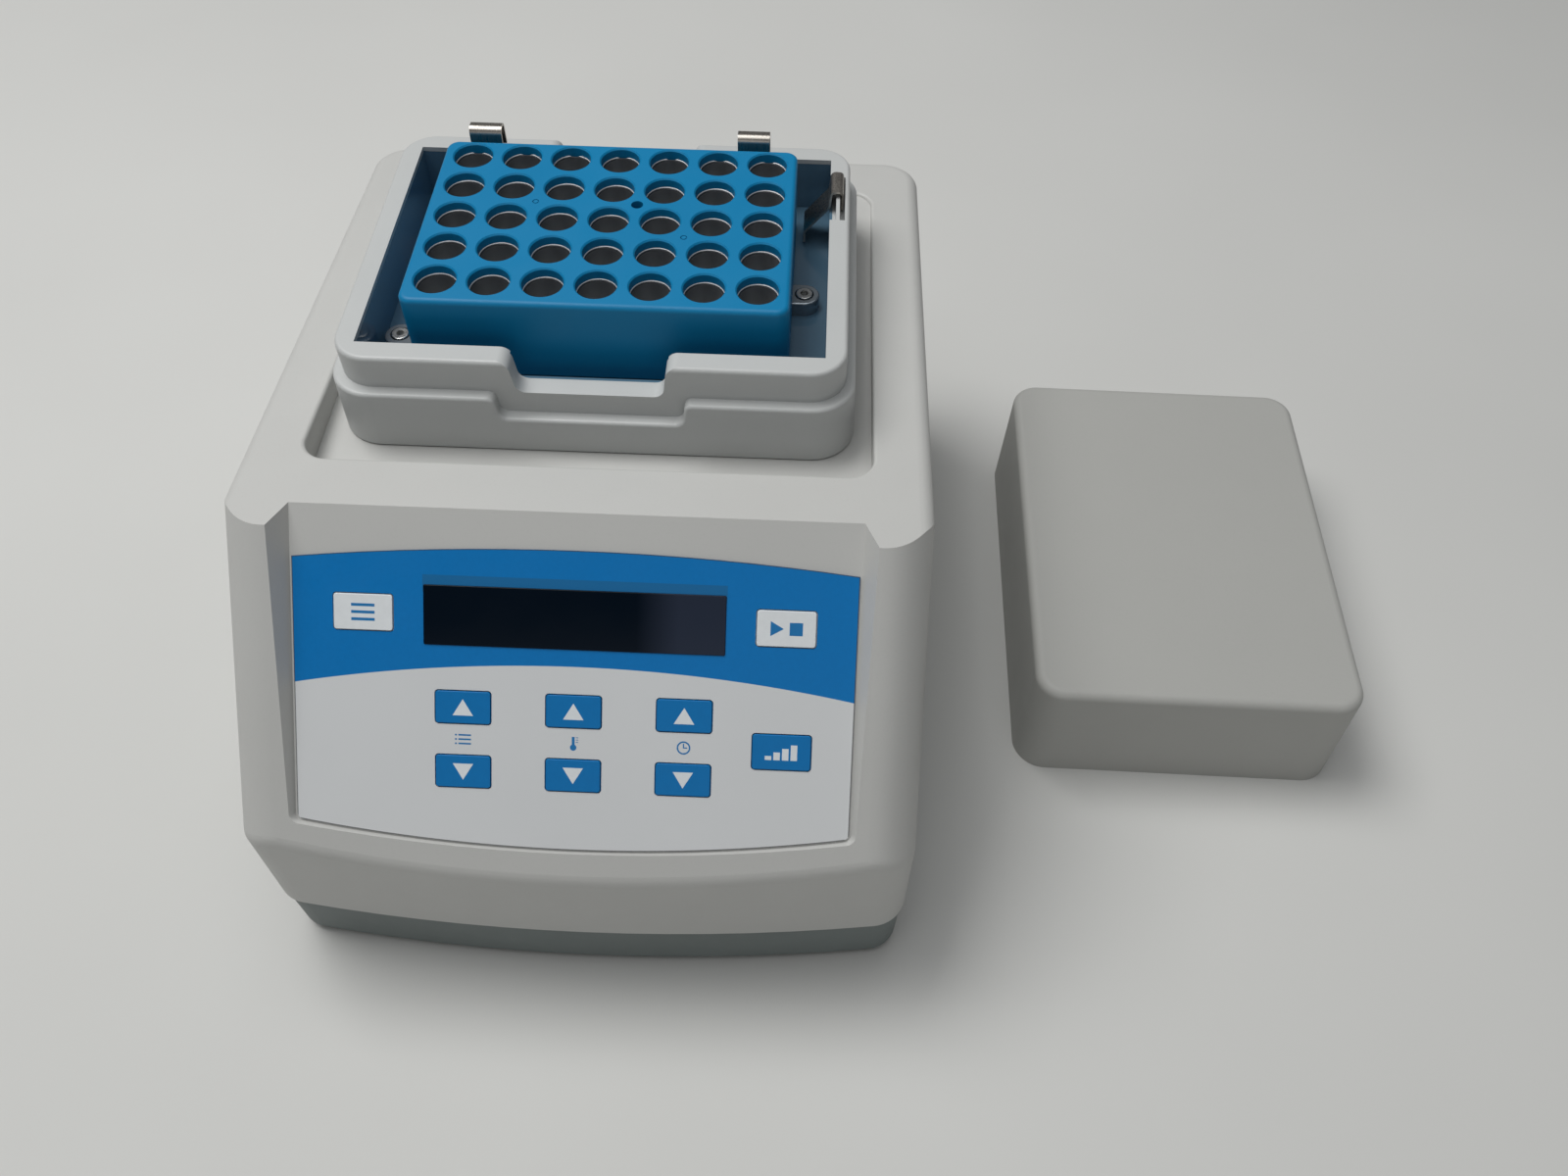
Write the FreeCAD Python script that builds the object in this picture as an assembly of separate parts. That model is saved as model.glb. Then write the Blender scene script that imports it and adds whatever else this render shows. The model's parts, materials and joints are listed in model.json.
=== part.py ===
import FreeCAD, Part
import math
import os

# Cooling dry block incubator with its loose cover lid standing beside it.
# Millimetres. Built in the unit's own frame: x to the right, y to the back,
# z up from the table, x = 0 on the plane of symmetry, y = 0 on the middle row of wells.
# At the end everything is shifted sideways so that the origin is the centre of
# the whole footprint at table level.

V = FreeCAD.Vector

# ---------------------------------------------------------------- driving sizes
SHIFT_X, SHIFT_Y = -81.465, 35.75   # from the unit's own frame to the kept frame

# tube block
PITCH_X, PITCH_Y = 16.0, 15.5
COLS, ROWS = 7, 5
BLOCK_X = 0.7                     # the block sits a little right of the middle
BLOCK_HX = 57.7
BLOCK_Y0, BLOCK_Y1 = -41.2, 39.3
COVER_TOP = 172.0
COVER_PLATE = 3.0
COVER_WALL = 2.2
WELL_R = 5.75
COVER_HOLE_R = 6.3
WELL_BOTTOM = 147.0
LUG_T = 5.0
LUGS = [(62.2, -4.2), (-63.1, -29.8)]

# chamber
FLOOR_Z = 143.7
CH_HX = 69.45
CH_Y0, CH_Y1 = -49.4, 48.2
CH_CY = -0.55
RIM_Z = 162.8
RIM_HX, RIM_HY = 76.0, 56.05
RIM_R = 11.0
LEDGE_Z = 151.7
LEDGE_HX, LEDGE_HY = 78.8, 59.75
LEDGE_R = 13.0
COLLAR_BOTTOM = 131.5
COLLAR_WALL = 2.5
LINER_T = 0.9

# housing
TOP_Z, TOP_FALL = 142.5, 0.0613    # height of the deck 97 mm in front of the origin, and its fall to the back
PART_Z = 27.0                     # joint between the upper and lower housing
WALL = 2.6
HALF_W = 102.6
REAR_Y = 96.5
FRONT_MID = -172.0                # bulged front, measured on the plane of symmetry
FRONT_SAG = 7.5                   # how far the bulge falls back at the sides
FRONT_R, REAR_R = 12.0, 13.0
EDGE_R = 7.0                      # rounding of the lower edge of the slope and of the front corners
DECK_R = 4.5                      # rounding of the edges of the deck
CHEEK_R = 15.0                    # rounding of the two long sides of the slope
RIM_SOFT = 2.0                    # soft edge along the two sides of the panel recess
BASE_IN = 1.6                     # how far the foot of the base stands inside the skin
MOAT_HX, MOAT_Y0, MOAT_Y1, MOAT_R = 84.9, -76.0, 74.0, 8.0
MOAT_Z = 131.0

# sloping control panel
SLOPE = math.radians(46.4)
PANEL_Y, PANEL_Z = -105.8, 131.6
CHEEK_TOP = (-103.7, 143.3)
CHEEK_LOW = (-165.6, 70.6)
OVER_HX, OVER_LEN, OVER_UP, OVER_DOWN = 81.6, 78.3, 4.5, 6.6
OVER_T = 0.5
KEY_TRAVEL = 0.4

# lid
LID_X, LID_Y, LID_YAW = 206.1, -11.6, -0.71
LID_HX, LID_HY, LID_H = 58.6, 78.7, 46.7
LID_DRAFT = 1.6
LID_WALL = 2.3

nodes = {}


# ---------------------------------------------------------------- helpers
def box(x0, y0, z0, x1, y1, z1):
    return Part.makeBox(x1 - x0, y1 - y0, z1 - z0, V(x0, y0, z0))


def cyl(x, y, z0, z1, r):
    return Part.makeCylinder(r, z1 - z0, V(x, y, z0), V(0, 0, 1))


def cyl_y(x, z, y0, y1, r):
    return Part.makeCylinder(r, y1 - y0, V(x, y0, z), V(0, 1, 0))


def cone(x, y, z0, z1, r0, r1):
    return Part.makeCone(r0, r1, z1 - z0, V(x, y, z0), V(0, 0, 1))


def rounded_wire(points, radii, to3d):
    """Closed wire through 2-D points with a tangent arc of the given radius at each."""
    n = len(points)
    corners = []
    for i in range(n):
        p0, p1, p2 = points[i - 1], points[i], points[(i + 1) % n]
        r = radii[i]
        a = (p0[0] - p1[0], p0[1] - p1[1])
        b = (p2[0] - p1[0], p2[1] - p1[1])
        la, lb = math.hypot(*a), math.hypot(*b)
        a, b = (a[0] / la, a[1] / la), (b[0] / lb, b[1] / lb)
        if r <= 0:
            corners.append((p1, None, p1))
            continue
        ang = math.acos(max(-1.0, min(1.0, a[0] * b[0] + a[1] * b[1])))
        t = r / math.tan(ang / 2)
        s = (p1[0] + a[0] * t, p1[1] + a[1] * t)
        e = (p1[0] + b[0] * t, p1[1] + b[1] * t)
        bis = (a[0] + b[0], a[1] + b[1])
        lbis = math.hypot(*bis)
        d = r / math.sin(ang / 2) - r
        m = (p1[0] + bis[0] / lbis * d, p1[1] + bis[1] / lbis * d)
        corners.append((s, m, e))
    edges = []
    for i in range(n):
        s, m, e = corners[i]
        if m is not None:
            edges.append(Part.Arc(to3d(*s), to3d(*m), to3d(*e)).toShape())
        nxt = corners[(i + 1) % n][0]
        if math.hypot(nxt[0] - e[0], nxt[1] - e[1]) > 1e-6:
            edges.append(Part.LineSegment(to3d(*e), to3d(*nxt)).toShape())
    return Part.Wire(edges)


def rect_wire(x0, y0, x1, y1, r, z):
    return rounded_wire([(x0, y0), (x1, y0), (x1, y1), (x0, y1)], [r] * 4, lambda a, b: V(a, b, z))


def rprism(x0, y0, x1, y1, r, z0, z1):
    f = Part.Face(rect_wire(x0, y0, x1, y1, r, z0))
    return f.extrude(V(0, 0, z1 - z0))


def rtaper(lo, hi, r0, r1, z0, z1):
    """Rounded box with draft: lo and hi are (x0, y0, x1, y1) at the bottom and at the top."""
    return Part.makeLoft([rect_wire(*lo, r0, z0), rect_wire(*hi, r1, z1)], True, True)


def fuse(shapes):
    out = shapes[0]
    if len(shapes) > 1:
        out = out.fuse(shapes[1:])
    return out.removeSplitter()


def cut_each(a, tools):
    for t in tools:
        a = a.cut(t)
    return a


def group(shapes):
    return Part.makeCompound(shapes)


def fillet(shape, test, r):
    """Fillets the edges whose bounding box and middle point pass the test."""
    picked = []
    for e in shape.Edges:
        if e.Length < 1e-4:
            continue
        m = e.valueAt((e.FirstParameter + e.LastParameter) / 2)
        if test(e, m, e.BoundBox):
            picked.append(e)
    return shape.makeFillet(r, picked)


def one(shape):
    """The single solid of a shape."""
    s = shape.Solids
    if len(s) == 1:
        return s[0]
    return max(s, key=lambda q: q.Volume)


def put(name, shape):
    nodes[name] = shape


def socket_screw(x, y, z_head, r_head, h_head, r_shank, length, up=False):
    """Socket-head screw, head top at z_head and shank down (or head bottom at z_head and shank up)."""
    if up:
        h = cyl(x, y, z_head, z_head + h_head, r_head)
        s = cyl(x, y, z_head + h_head, z_head + h_head + length, r_shank)
        hexa = hex_prism(x, y, z_head, z_head + h_head * 0.6, r_head * 0.5)
    else:
        h = cyl(x, y, z_head - h_head, z_head, r_head)
        h = fillet(h, lambda e, m, b: abs(b.ZMin - z_head) < 1e-4 and abs(b.ZMax - z_head) < 1e-4, r_head * 0.12)
        s = cyl(x, y, z_head - h_head - length, z_head - h_head, r_shank)
        hexa = hex_prism(x, y, z_head - h_head * 0.6, z_head, r_head * 0.5)
    return one(h.fuse(s).cut(hexa).removeSplitter())


def hex_prism(x, y, z0, z1, r):
    pts = [V(x + r * math.cos(math.radians(60 * i)), y + r * math.sin(math.radians(60 * i)), z0) for i in range(7)]
    return Part.Face(Part.makePolygon(pts)).extrude(V(0, 0, z1 - z0))


def cross_cut(x, y, z0, z1, r):
    return box(x - r, y - r * 0.22, z0, x + r, y + r * 0.22, z1).fuse(box(x - r * 0.22, y - r, z0, x + r * 0.22, y + r, z1))


PANEL = FreeCAD.Placement(V(0, PANEL_Y, PANEL_Z), FreeCAD.Rotation(V(1, 0, 0), math.degrees(SLOPE)))


def on_panel(shape):
    s = shape.copy()
    s.Placement = PANEL.multiply(s.Placement)
    return s


# ---------------------------------------------------------------- housing form
def offset_line(p, q, t):
    """The line p-q moved t to the left of its direction."""
    dx, dy = q[0] - p[0], q[1] - p[1]
    l = math.hypot(dx, dy)
    nx, ny = -dy / l, dx / l
    return (p[0] + nx * t, p[1] + ny * t), (q[0] + nx * t, q[1] + ny * t)


def meet(l1, l2):
    (x1, y1), (x2, y2) = l1
    (x3, y3), (x4, y4) = l2
    d = (x1 - x2) * (y3 - y4) - (y1 - y2) * (x3 - x4)
    a = x1 * y2 - y1 * x2
    b = x3 * y4 - y3 * x4
    return ((a * (x3 - x4) - (x1 - x2) * b) / d, (a * (y3 - y4) - (y1 - y2) * b) / d)


def deck_z(y):
    return TOP_Z - TOP_FALL * (y + 97.0)


def slope_prism(t):
    """Everything behind the sloping front, t inside the skin, with its two long sides rounded."""
    uy, uz = CHEEK_TOP[0] - CHEEK_LOW[0], CHEEK_TOP[1] - CHEEK_LOW[1]
    c = math.hypot(uy, uz)
    uy, uz = uy / c, uz / c
    hx, r = HALF_W - t, CHEEK_R - t
    put3d = lambda a, b: V(a, CHEEK_TOP[0] - 260 * uy - b * uz, CHEEK_TOP[1] - 260 * uz + b * uy)
    w = rounded_wire([(-hx, -t), (hx, -t), (hx, -340.0), (-hx, -340.0)], [r, r, 0, 0], put3d)
    return Part.Face(w).extrude(V(0, uy * 500, uz * 500))


def plan_wire(t, z):
    """Plan of the housing, t inside the skin, with a bulged front, drawn at height z."""
    hx = HALF_W - t
    rr, rf = max(REAR_R - t, 2.0), max(FRONT_R - t, 2.5)
    yr = REAR_Y - t
    big = (HALF_W * HALF_W + FRONT_SAG * FRONT_SAG) / (2 * FRONT_SAG) - t
    cy = FRONT_MID + t + big
    # centre of the corner arc: rf inside the side and rf inside the big front arc
    cx = hx - rf
    ccy = cy - math.sqrt((big - rf) ** 2 - cx * cx)
    ang = math.atan2(ccy - cy, cx)
    tx, ty = cx + rf * math.cos(ang), ccy + rf * math.sin(ang)
    mx, my = cx + rf * math.cos(ang / 2), ccy + rf * math.sin(ang / 2)
    h = rr * 0.7071067811865476
    P = lambda x, y: V(x, y, z)
    return Part.Wire([
        Part.Arc(P(-tx, ty), P(0, cy - big), P(tx, ty)).toShape(),
        Part.Arc(P(tx, ty), P(mx, my), P(hx, ccy)).toShape(),
        Part.LineSegment(P(hx, ccy), P(hx, yr - rr)).toShape(),
        Part.Arc(P(hx, yr - rr), P(hx - rr + h, yr - rr + h), P(hx - rr, yr)).toShape(),
        Part.LineSegment(P(hx - rr, yr), P(-hx + rr, yr)).toShape(),
        Part.Arc(P(-hx + rr, yr), P(-hx + rr - h, yr - rr + h), P(-hx, yr - rr)).toShape(),
        Part.LineSegment(P(-hx, yr - rr), P(-hx, ccy)).toShape(),
        Part.Arc(P(-hx, ccy), P(-mx, my), P(-tx, ty)).toShape(),
    ])


def front_form(t, z_low):
    """Everything under the sloping front and inside the plan, t inside the skin."""
    prism = Part.Face(plan_wire(t, z_low)).extrude(V(0, 0, 150))
    return one(slope_prism(t).common(prism))


def deck_form(t, z_low):
    """Everything under the deck and in front of the rear wall, t inside the skin; open at the front."""
    c = math.hypot(1.0, TOP_FALL)
    y1 = REAR_Y - t
    pts = [(-320.0, z_low), (y1, z_low), (y1, deck_z(y1) - t * c), (-320.0, deck_z(-320.0) - t * c)]
    slab = Part.Face(Part.makePolygon([V(-130, a, b) for a, b in pts + pts[:1]])).extrude(V(260, 0, 0))
    hx, r = HALF_W - t, REAR_R - t
    return one(slab.common(rprism(-hx, -400.0, hx, y1, r, z_low - 5, 250.0)))


def skin(t, z_low):
    """The rounded solid that lies t inside the skin: both forms are drawn further inside and grown."""
    a = one(front_form(EDGE_R, z_low).makeOffsetShape(EDGE_R - t, 0.01, False, False, 0, 0))
    b = one(deck_form(DECK_R, z_low).makeOffsetShape(DECK_R - t, 0.01, False, False, 0, 0))
    return one(a.common(b))


outer = one(skin(0.0, PART_Z - 12).common(box(-200, -300, PART_Z, 200, 200, 300)))
inner = skin(WALL, PART_Z - 12)

# tub of the moat, hanging inside the top
tub = rprism(-MOAT_HX - 2.4, MOAT_Y0 - 2.4, MOAT_HX + 2.4, MOAT_Y1 + 2.4, MOAT_R + 2.4, MOAT_Z - 2.4, TOP_Z + 20).common(skin(0.8, PART_Z - 12))
pocket = rprism(-MOAT_HX, MOAT_Y0, MOAT_HX, MOAT_Y1, MOAT_R, MOAT_Z, TOP_Z + 20)
hatch = rprism(-68.4, -46.5, 68.4, 45.5, 4.0, MOAT_Z - 10, MOAT_Z + 10)

# local frame of the panel: x right, y up the slope, z out of the face, zero on the overlay's face
recess_x = 82.3


def arch_wire(hx, y_top, up, y_low, down, r_low, z):
    """Outline with an arched top and an arched bottom edge, on the panel."""
    P = lambda x, y: V(x, y, z)
    e = []
    big = (hx * hx + down * down) / (2 * down)
    cy = y_low - down + big
    cx = hx - r_low
    ccy = cy - math.sqrt((big - r_low) ** 2 - cx * cx)
    ang = math.atan2(ccy - cy, cx)
    tx, ty = cx + r_low * math.cos(ang), ccy + r_low * math.sin(ang)
    mx, my = cx + r_low * math.cos(ang / 2), ccy + r_low * math.sin(ang / 2)
    e.append(Part.Arc(P(-tx, ty), P(0, cy - big), P(tx, ty)).toShape())
    e.append(Part.Arc(P(tx, ty), P(mx, my), P(hx, ccy)).toShape())
    e.append(Part.LineSegment(P(hx, ccy), P(hx, y_top)).toShape())
    if up > 0:
        e.append(Part.Arc(P(hx, y_top), P(0, y_top + up), P(-hx, y_top)).toShape())
    else:
        e.append(Part.LineSegment(P(hx, y_top), P(-hx, y_top)).toShape())
    e.append(Part.LineSegment(P(-hx, y_top), P(-hx, ccy)).toShape())
    e.append(Part.Arc(P(-hx, ccy), P(-mx, my), P(-tx, ty)).toShape())
    return Part.Wire(e)


recess_low = arch_wire(recess_x, 60.0, 0, -OVER_LEN - 0.6, OVER_DOWN, 2.6, -OVER_T)
recess_high = arch_wire(recess_x + 6.6, 60.0, 0, -OVER_LEN - 2.2, OVER_DOWN, 4.0, 11.0)
recess = on_panel(Part.makeLoft([recess_low, recess_high], True, True))
backing = on_panel(box(-91, -90, -OVER_T - 2.6, 91, 30, 12)).common(outer)

# the recess of the panel is sunk in the form first, so that its long edges can be softened
sunk = one(outer.cut(recess))
for radius in (RIM_SOFT, 1.4, 0.9):
    try:
        soft = fillet(sunk, lambda e, m, b: 81.0 < abs(m.x) < 92.0 and b.ZMax - b.ZMin > 40 and abs(m.z - (CHEEK_TOP[1] + (m.y - CHEEK_TOP[0]) * (CHEEK_LOW[1] - CHEEK_TOP[1]) / (CHEEK_LOW[0] - CHEEK_TOP[0]))) < 0.1, radius)
        if soft.isValid() and len(soft.Solids) == 1:
            sunk = one(soft)
            print("recess sides rounded", radius)
            break
    except Exception as err:
        print("recess sides sharp:", radius, err)
shell = sunk.cut(inner)
shell = shell.fuse([one(tub), one(backing.cut(recess))]).removeSplitter()
shell = shell.cut(pocket).cut(hatch)
shell = one(shell)

# keys and display
KEY_DX = 0.0
KEYS = {
    "option_key": (-61.1 + KEY_DX, -15.5, 17.0, 10.5),
    "start_stop_key": (61.1 + KEY_DX, -15.8, 17.0, 10.5),
    "multi_step_key": (60.9 + KEY_DX, -52.5, 17.0, 10.5),
    "program_up_key": (-32.3 + KEY_DX, -42.7, 16.0, 9.6),
    "program_down_key": (-32.3 + KEY_DX, -62.0, 16.0, 9.6),
    "temp_up_key": (0.0 + KEY_DX, -42.7, 16.0, 9.6),
    "temp_down_key": (0.0 + KEY_DX, -62.0, 16.0, 9.6),
    "time_up_key": (32.3 + KEY_DX, -42.7, 16.0, 9.6),
    "time_down_key": (32.3 + KEY_DX, -62.0, 16.0, 9.6),
}
WIN_HX, WIN_Y0, WIN_Y1 = 43.7, -24.4, -6.8


def prism_r(x, y, w, h, r, z0, z1):
    return rprism(x - w / 2, y - h / 2, x + w / 2, y + h / 2, r, z0, z1)


overlay = Part.Face(arch_wire(OVER_HX, 0.0, OVER_UP, -OVER_LEN, OVER_DOWN, 2.0, -OVER_T)).extrude(V(0, 0, OVER_T))
key_tools, key_wall_tools = [], []
for name, (kx, ky, kw, kh) in KEYS.items():
    key_tools.append(prism_r(kx, ky, kw + 0.7, kh + 0.7, 1.15, -2, 2))
    key_wall_tools.append(prism_r(kx, ky, kw + 2.6, kh + 2.6, 1.6, -2.35, 0))
    key_wall_tools.append(prism_r(kx, ky, 8.2, 5.2, 0.8, -6, 0))
    pad = prism_r(kx, ky, kw, kh, 0.8, -0.95, 0.3)
    pad = fillet(pad, lambda e, m, b: b.ZMin > 0.29, 0.22)
    base = prism_r(kx, ky, kw + 1.6, kh + 1.6, 1.2, -1.55, -0.9)
    stem = prism_r(kx, ky, 7.2, 4.2, 0.5, -3.6, -1.5)
    put(name, on_panel(one(fuse([pad, base, stem]))))
win_tool = prism_r(0, (WIN_Y0 + WIN_Y1) / 2, 2 * WIN_HX, WIN_Y1 - WIN_Y0, 0.5, -2, 2)
overlay = cut_each(overlay, key_tools + [win_tool])
put("control_overlay", on_panel(one(overlay)))

glass = prism_r(0, (WIN_Y0 + WIN_Y1) / 2, 2 * WIN_HX - 0.1, WIN_Y1 - WIN_Y0 - 0.1, 0.45, -0.5, 0.35)
glass = fillet(glass, lambda e, m, b: b.ZMin > 0.34, 0.25)
glass = glass.fuse(prism_r(0, (WIN_Y0 + WIN_Y1) / 2, 2 * WIN_HX + 3, WIN_Y1 - WIN_Y0 + 3, 1.0, -1.6, -0.5)).removeSplitter()
put("display_window", on_panel(one(glass)))
wall_cut = [on_panel(t) for t in key_wall_tools]
wall_cut.append(on_panel(prism_r(0, (WIN_Y0 + WIN_Y1) / 2, 2 * WIN_HX + 3.1, WIN_Y1 - WIN_Y0 + 3.1, 1.05, -1.6, 0)))
wall_cut.append(on_panel(prism_r(0, (WIN_Y0 + WIN_Y1) / 2, 2 * WIN_HX - 3, WIN_Y1 - WIN_Y0 - 3, 1.0, -8, 0)))
shell = cut_each(shell, wall_cut)

# display module: glass tube on its carrier
mod = box(-46, -26.0, -6.4, 46, -5.2, -3.2).fuse([box(-41.5, -22.6, -3.2, 41.5, -8.6, -1.7), box(-45.0, -25.0, -8.2, -42.5, -6.2, -6.4), box(42.5, -25.0, -8.2, 45.0, -6.2, -6.4)])
put("display_module", on_panel(one(mod.removeSplitter())))

# board behind the panel, nine tactile switches, four screws into bosses
BOARD_Z = -8.2
board = box(-76, -72, BOARD_Z - 1.6, 76, 0, BOARD_Z)
screw_at = [(-73, -3), (73, -3), (-73, -69), (73, -69)]
bosses, screws = [], []
for (sx, sy) in screw_at:
    bosses.append(on_panel(prism_r(sx, sy, 6.4, 5.6, 1.0, BOARD_Z, -OVER_T - 2.0).cut(cyl(sx, sy, BOARD_Z - 1, -3.4, 1.25))))
    board = board.cut(cyl(sx, sy, BOARD_Z - 3, BOARD_Z + 1, 1.6))
    s = cyl(sx, sy, BOARD_Z - 3.4, BOARD_Z - 1.6, 2.4).fuse(cyl(sx, sy, BOARD_Z - 1.6, -4.0, 1.2)).cut(cross_cut(sx, sy, BOARD_Z - 3.5, BOARD_Z - 2.6, 1.4))
    screws.append(on_panel(one(s.removeSplitter())))
chips = [box(-30, -40, BOARD_Z - 4.0, -8, -30, BOARD_Z - 1.6), box(6, -36, BOARD_Z - 3.2, 22, -20, BOARD_Z - 1.6), box(-12, -70, BOARD_Z - 8.6, 18, -62, BOARD_Z - 1.6)]
board = fuse([board] + chips)
put("panel_board", on_panel(one(board)))
put("panel_screws", group(screws))
put("tactile_switches", group([on_panel(one(prism_r(kx, ky, 6.0, 6.0, 0.4, BOARD_Z, -4.9).fuse(cyl(kx, ky, -4.9, -4.15, 1.7)).removeSplitter())) for (kx, ky, kw, kh) in KEYS.values()]))
shell = shell.fuse(bosses).removeSplitter()

# ---------------------------------------------------------------- rear of the housing
# mains inlet with a fuse drawer under it, and a rocker switch
INLET_X, INLET_Z = 62.0, 58.0
SWITCH_X, SWITCH_Z = 24.0, 58.0
RP = REAR_Y
shell = shell.cut(box(INLET_X - 14.0, RP - 10, INLET_Z - 22.0, INLET_X + 14.0, RP + 5, INLET_Z + 11.5))
shell = shell.cut(box(SWITCH_X - 6.4, RP - 10, SWITCH_Z - 9.6, SWITCH_X + 6.4, RP + 5, SWITCH_Z + 9.6))
for sx in (-20.0, 20.0):
    shell = shell.cut(cyl_y(INLET_X + sx, INLET_Z - 5.2, RP - 10, RP + 5, 1.7))
# exhaust slots high on the back and on both sides
for i in range(11):
    x = -82 + i * 8.0
    face = Part.Face(rounded_wire([(x - 1.6, 84.0), (x + 1.6, 84.0), (x + 1.6, 116.0), (x - 1.6, 116.0)], [1.5] * 4, lambda a, b: V(a, RP - 12, b)))
    shell = shell.cut(face.extrude(V(0, 24, 0)))
for i in range(9):
    y = -22 + i * 8.0
    face = Part.Face(rounded_wire([(y - 1.6, 74.0), (y + 1.6, 74.0), (y + 1.6, 108.0), (y - 1.6, 108.0)], [1.5] * 4, lambda a, b: V(-115, a, b)))
    shell = shell.cut(face.extrude(V(30, 0, 0)))
    shell = shell.cut(face.translated(V(200, 0, 0)).extrude(V(30, 0, 0)))

# bosses for the case screws
CASE_SCREWS = [(-86, -120), (86, -120), (-88, 78), (88, 78)]
case_bosses = []
for (sx, sy) in CASE_SCREWS:
    b = cyl(sx, sy, PART_Z + 0.5, 60.0, 4.4)
    wall_x = math.copysign(HALF_W - WALL + 1.0, sx)
    rib = box(min(sx, wall_x), sy - 1.4, PART_Z + 0.5, max(sx, wall_x), sy + 1.4, 56.0)
    case_bosses += [b, rib]
shell = shell.fuse(case_bosses).removeSplitter()
for (sx, sy) in CASE_SCREWS:
    shell = shell.cut(cyl(sx, sy, PART_Z - 1, 50.0, 1.65))
# collar screw holes in the moat floor
COLLAR_SCREWS = [(sx * 71.4, CH_CY + sy * 52.0) for sx in (-1, 1) for sy in (-1, 1)]
for (sx, sy) in COLLAR_SCREWS:
    shell = shell.cut(cyl(sx, sy, MOAT_Z - 8, MOAT_Z + 2, 1.8))
# soft edge round the mouth of the moat
try:
    soft = fillet(shell, lambda e, m, b: abs(m.z - deck_z(m.y)) < 0.02 and abs(m.x) <= MOAT_HX + 0.01 and MOAT_Y0 - 0.01 <= m.y <= MOAT_Y1 + 0.01, 1.2)
    if soft.isValid() and len(soft.Solids) == 1:
        shell = one(soft)
        print("moat edge rounded")
except Exception as err:
    print("moat edge sharp:", err)
for radius in (1.6, 1.1, 0.7):
    try:
        soft = fillet(shell, lambda e, m, b: abs(b.ZMin - MOAT_Z) < 1e-3 and abs(b.ZMax - MOAT_Z) < 1e-3 and (abs(m.x) > 66 or m.y < -50 or m.y > 50) and b.DiagonalLength > 8, radius)
        if soft.isValid() and len(soft.Solids) == 1:
            shell = one(soft)
            print("moat foot rounded", radius)
            break
    except Exception as err:
        print("moat foot sharp:", radius, err)
put("upper_housing", one(shell))

# ---------------------------------------------------------------- lower housing
low_top = PART_Z - 0.4
base_out = Part.makeLoft([plan_wire(BASE_IN, 3.0), plan_wire(0.9, low_top)], True, True)
base_in = Part.makeLoft([plan_wire(BASE_IN + 2.4, 5.6), plan_wire(0.9 + 2.4, low_top + 1)], True, True)
tray = one(base_out).cut(one(base_in))
try:
    soft = fillet(one(tray), lambda e, m, b: b.ZMax < 3.01, 1.5)
    if soft.isValid() and len(soft.Solids) == 1:
        tray = soft
        print("base foot rounded")
except Exception as err:
    print("base foot sharp:", err)
# tongue that stands inside the upper housing
tongue = Part.makeLoft([plan_wire(WALL + 0.35, low_top - 3.5), plan_wire(WALL + 0.35, low_top + 3.6)], True, True)
tongue_in = Part.makeLoft([plan_wire(WALL + 0.35 + 1.6, low_top - 4.5), plan_wire(WALL + 0.35 + 1.6, low_top + 4.6)], True, True)
ring = one(tongue).cut(one(tongue_in))
for (sx, sy) in CASE_SCREWS:
    ring = ring.cut(box(sx - 16 if sx < 0 else sx, sy - 4, low_top + 0.2, sx if sx < 0 else sx + 16, sy + 4, low_top + 10))
tray = tray.fuse(ring).removeSplitter()
posts = [cyl(sx, sy, 4.0, PART_Z + 0.5 - 0.2, 4.6) for (sx, sy) in CASE_SCREWS]
FEET = [(-78, -144), (78, -144), (-78, 76), (78, 76)]
posts += [cyl(fx, fy, 4.0, 10.6, 4.6) for (fx, fy) in FEET]
BOARD_POSTS = [(10, -140), (72, -140), (10, -84), (72, -84)]
SUPPLY_POSTS = [(-72, -134), (-16, -134), (-72, -76), (-16, -76)]
posts += [cyl(px, py, 4.0, 14.0, 3.4) for (px, py) in BOARD_POSTS]
posts += [cyl(px, py, 4.0, 11.0, 3.4) for (px, py) in SUPPLY_POSTS]
tray = tray.fuse(posts).removeSplitter()
for (sx, sy) in CASE_SCREWS:
    tray = tray.cut(cyl(sx, sy, 0, 14.0, 3.4)).cut(cyl(sx, sy, 0, 40, 2.0))
for (fx, fy) in FEET:
    tray = tray.cut(cyl(fx, fy, 0, 9.6, 1.7))
for (px, py) in BOARD_POSTS:
    tray = tray.cut(cyl(px, py, 6.0, 20, 1.3))
for (px, py) in SUPPLY_POSTS:
    tray = tray.cut(cyl(px, py, 6.0, 20, 1.3))
# intake slots under the fan
for i in range(11):
    x = -40 + i * 8.0
    half = math.sqrt(max(44.0 ** 2 - x * x, 100))
    tray = tray.cut(rprism(x - 2.0, -half, x + 2.0, half, 1.9, 0, 10))
put("lower_housing", one(tray))

feet, foot_screws = [], []
for (fx, fy) in FEET:
    f = cone(fx, fy, 0.0, 3.0, 8.2, 9.2).cut(cyl(fx, fy, -1, 1.6, 3.6)).cut(cyl(fx, fy, 1, 4, 1.9))
    feet.append(one(f.removeSplitter()))
    s = cyl(fx, fy, 0.3, 1.55, 3.2).fuse(cyl(fx, fy, 1.55, 9.2, 1.6)).cut(cross_cut(fx, fy, 0.2, 0.95, 1.8))
    foot_screws.append(one(s.removeSplitter()))
put("rubber_feet", group(feet))
put("foot_screws", group(foot_screws))
case_screws = []
for (sx, sy) in CASE_SCREWS:
    s = cyl(sx, sy, 11.0, 13.9, 3.0).fuse(cyl(sx, sy, 13.9, 46.0, 1.6)).cut(cross_cut(sx, sy, 10.9, 12.3, 1.9))
    case_screws.append(one(s.removeSplitter()))
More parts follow.
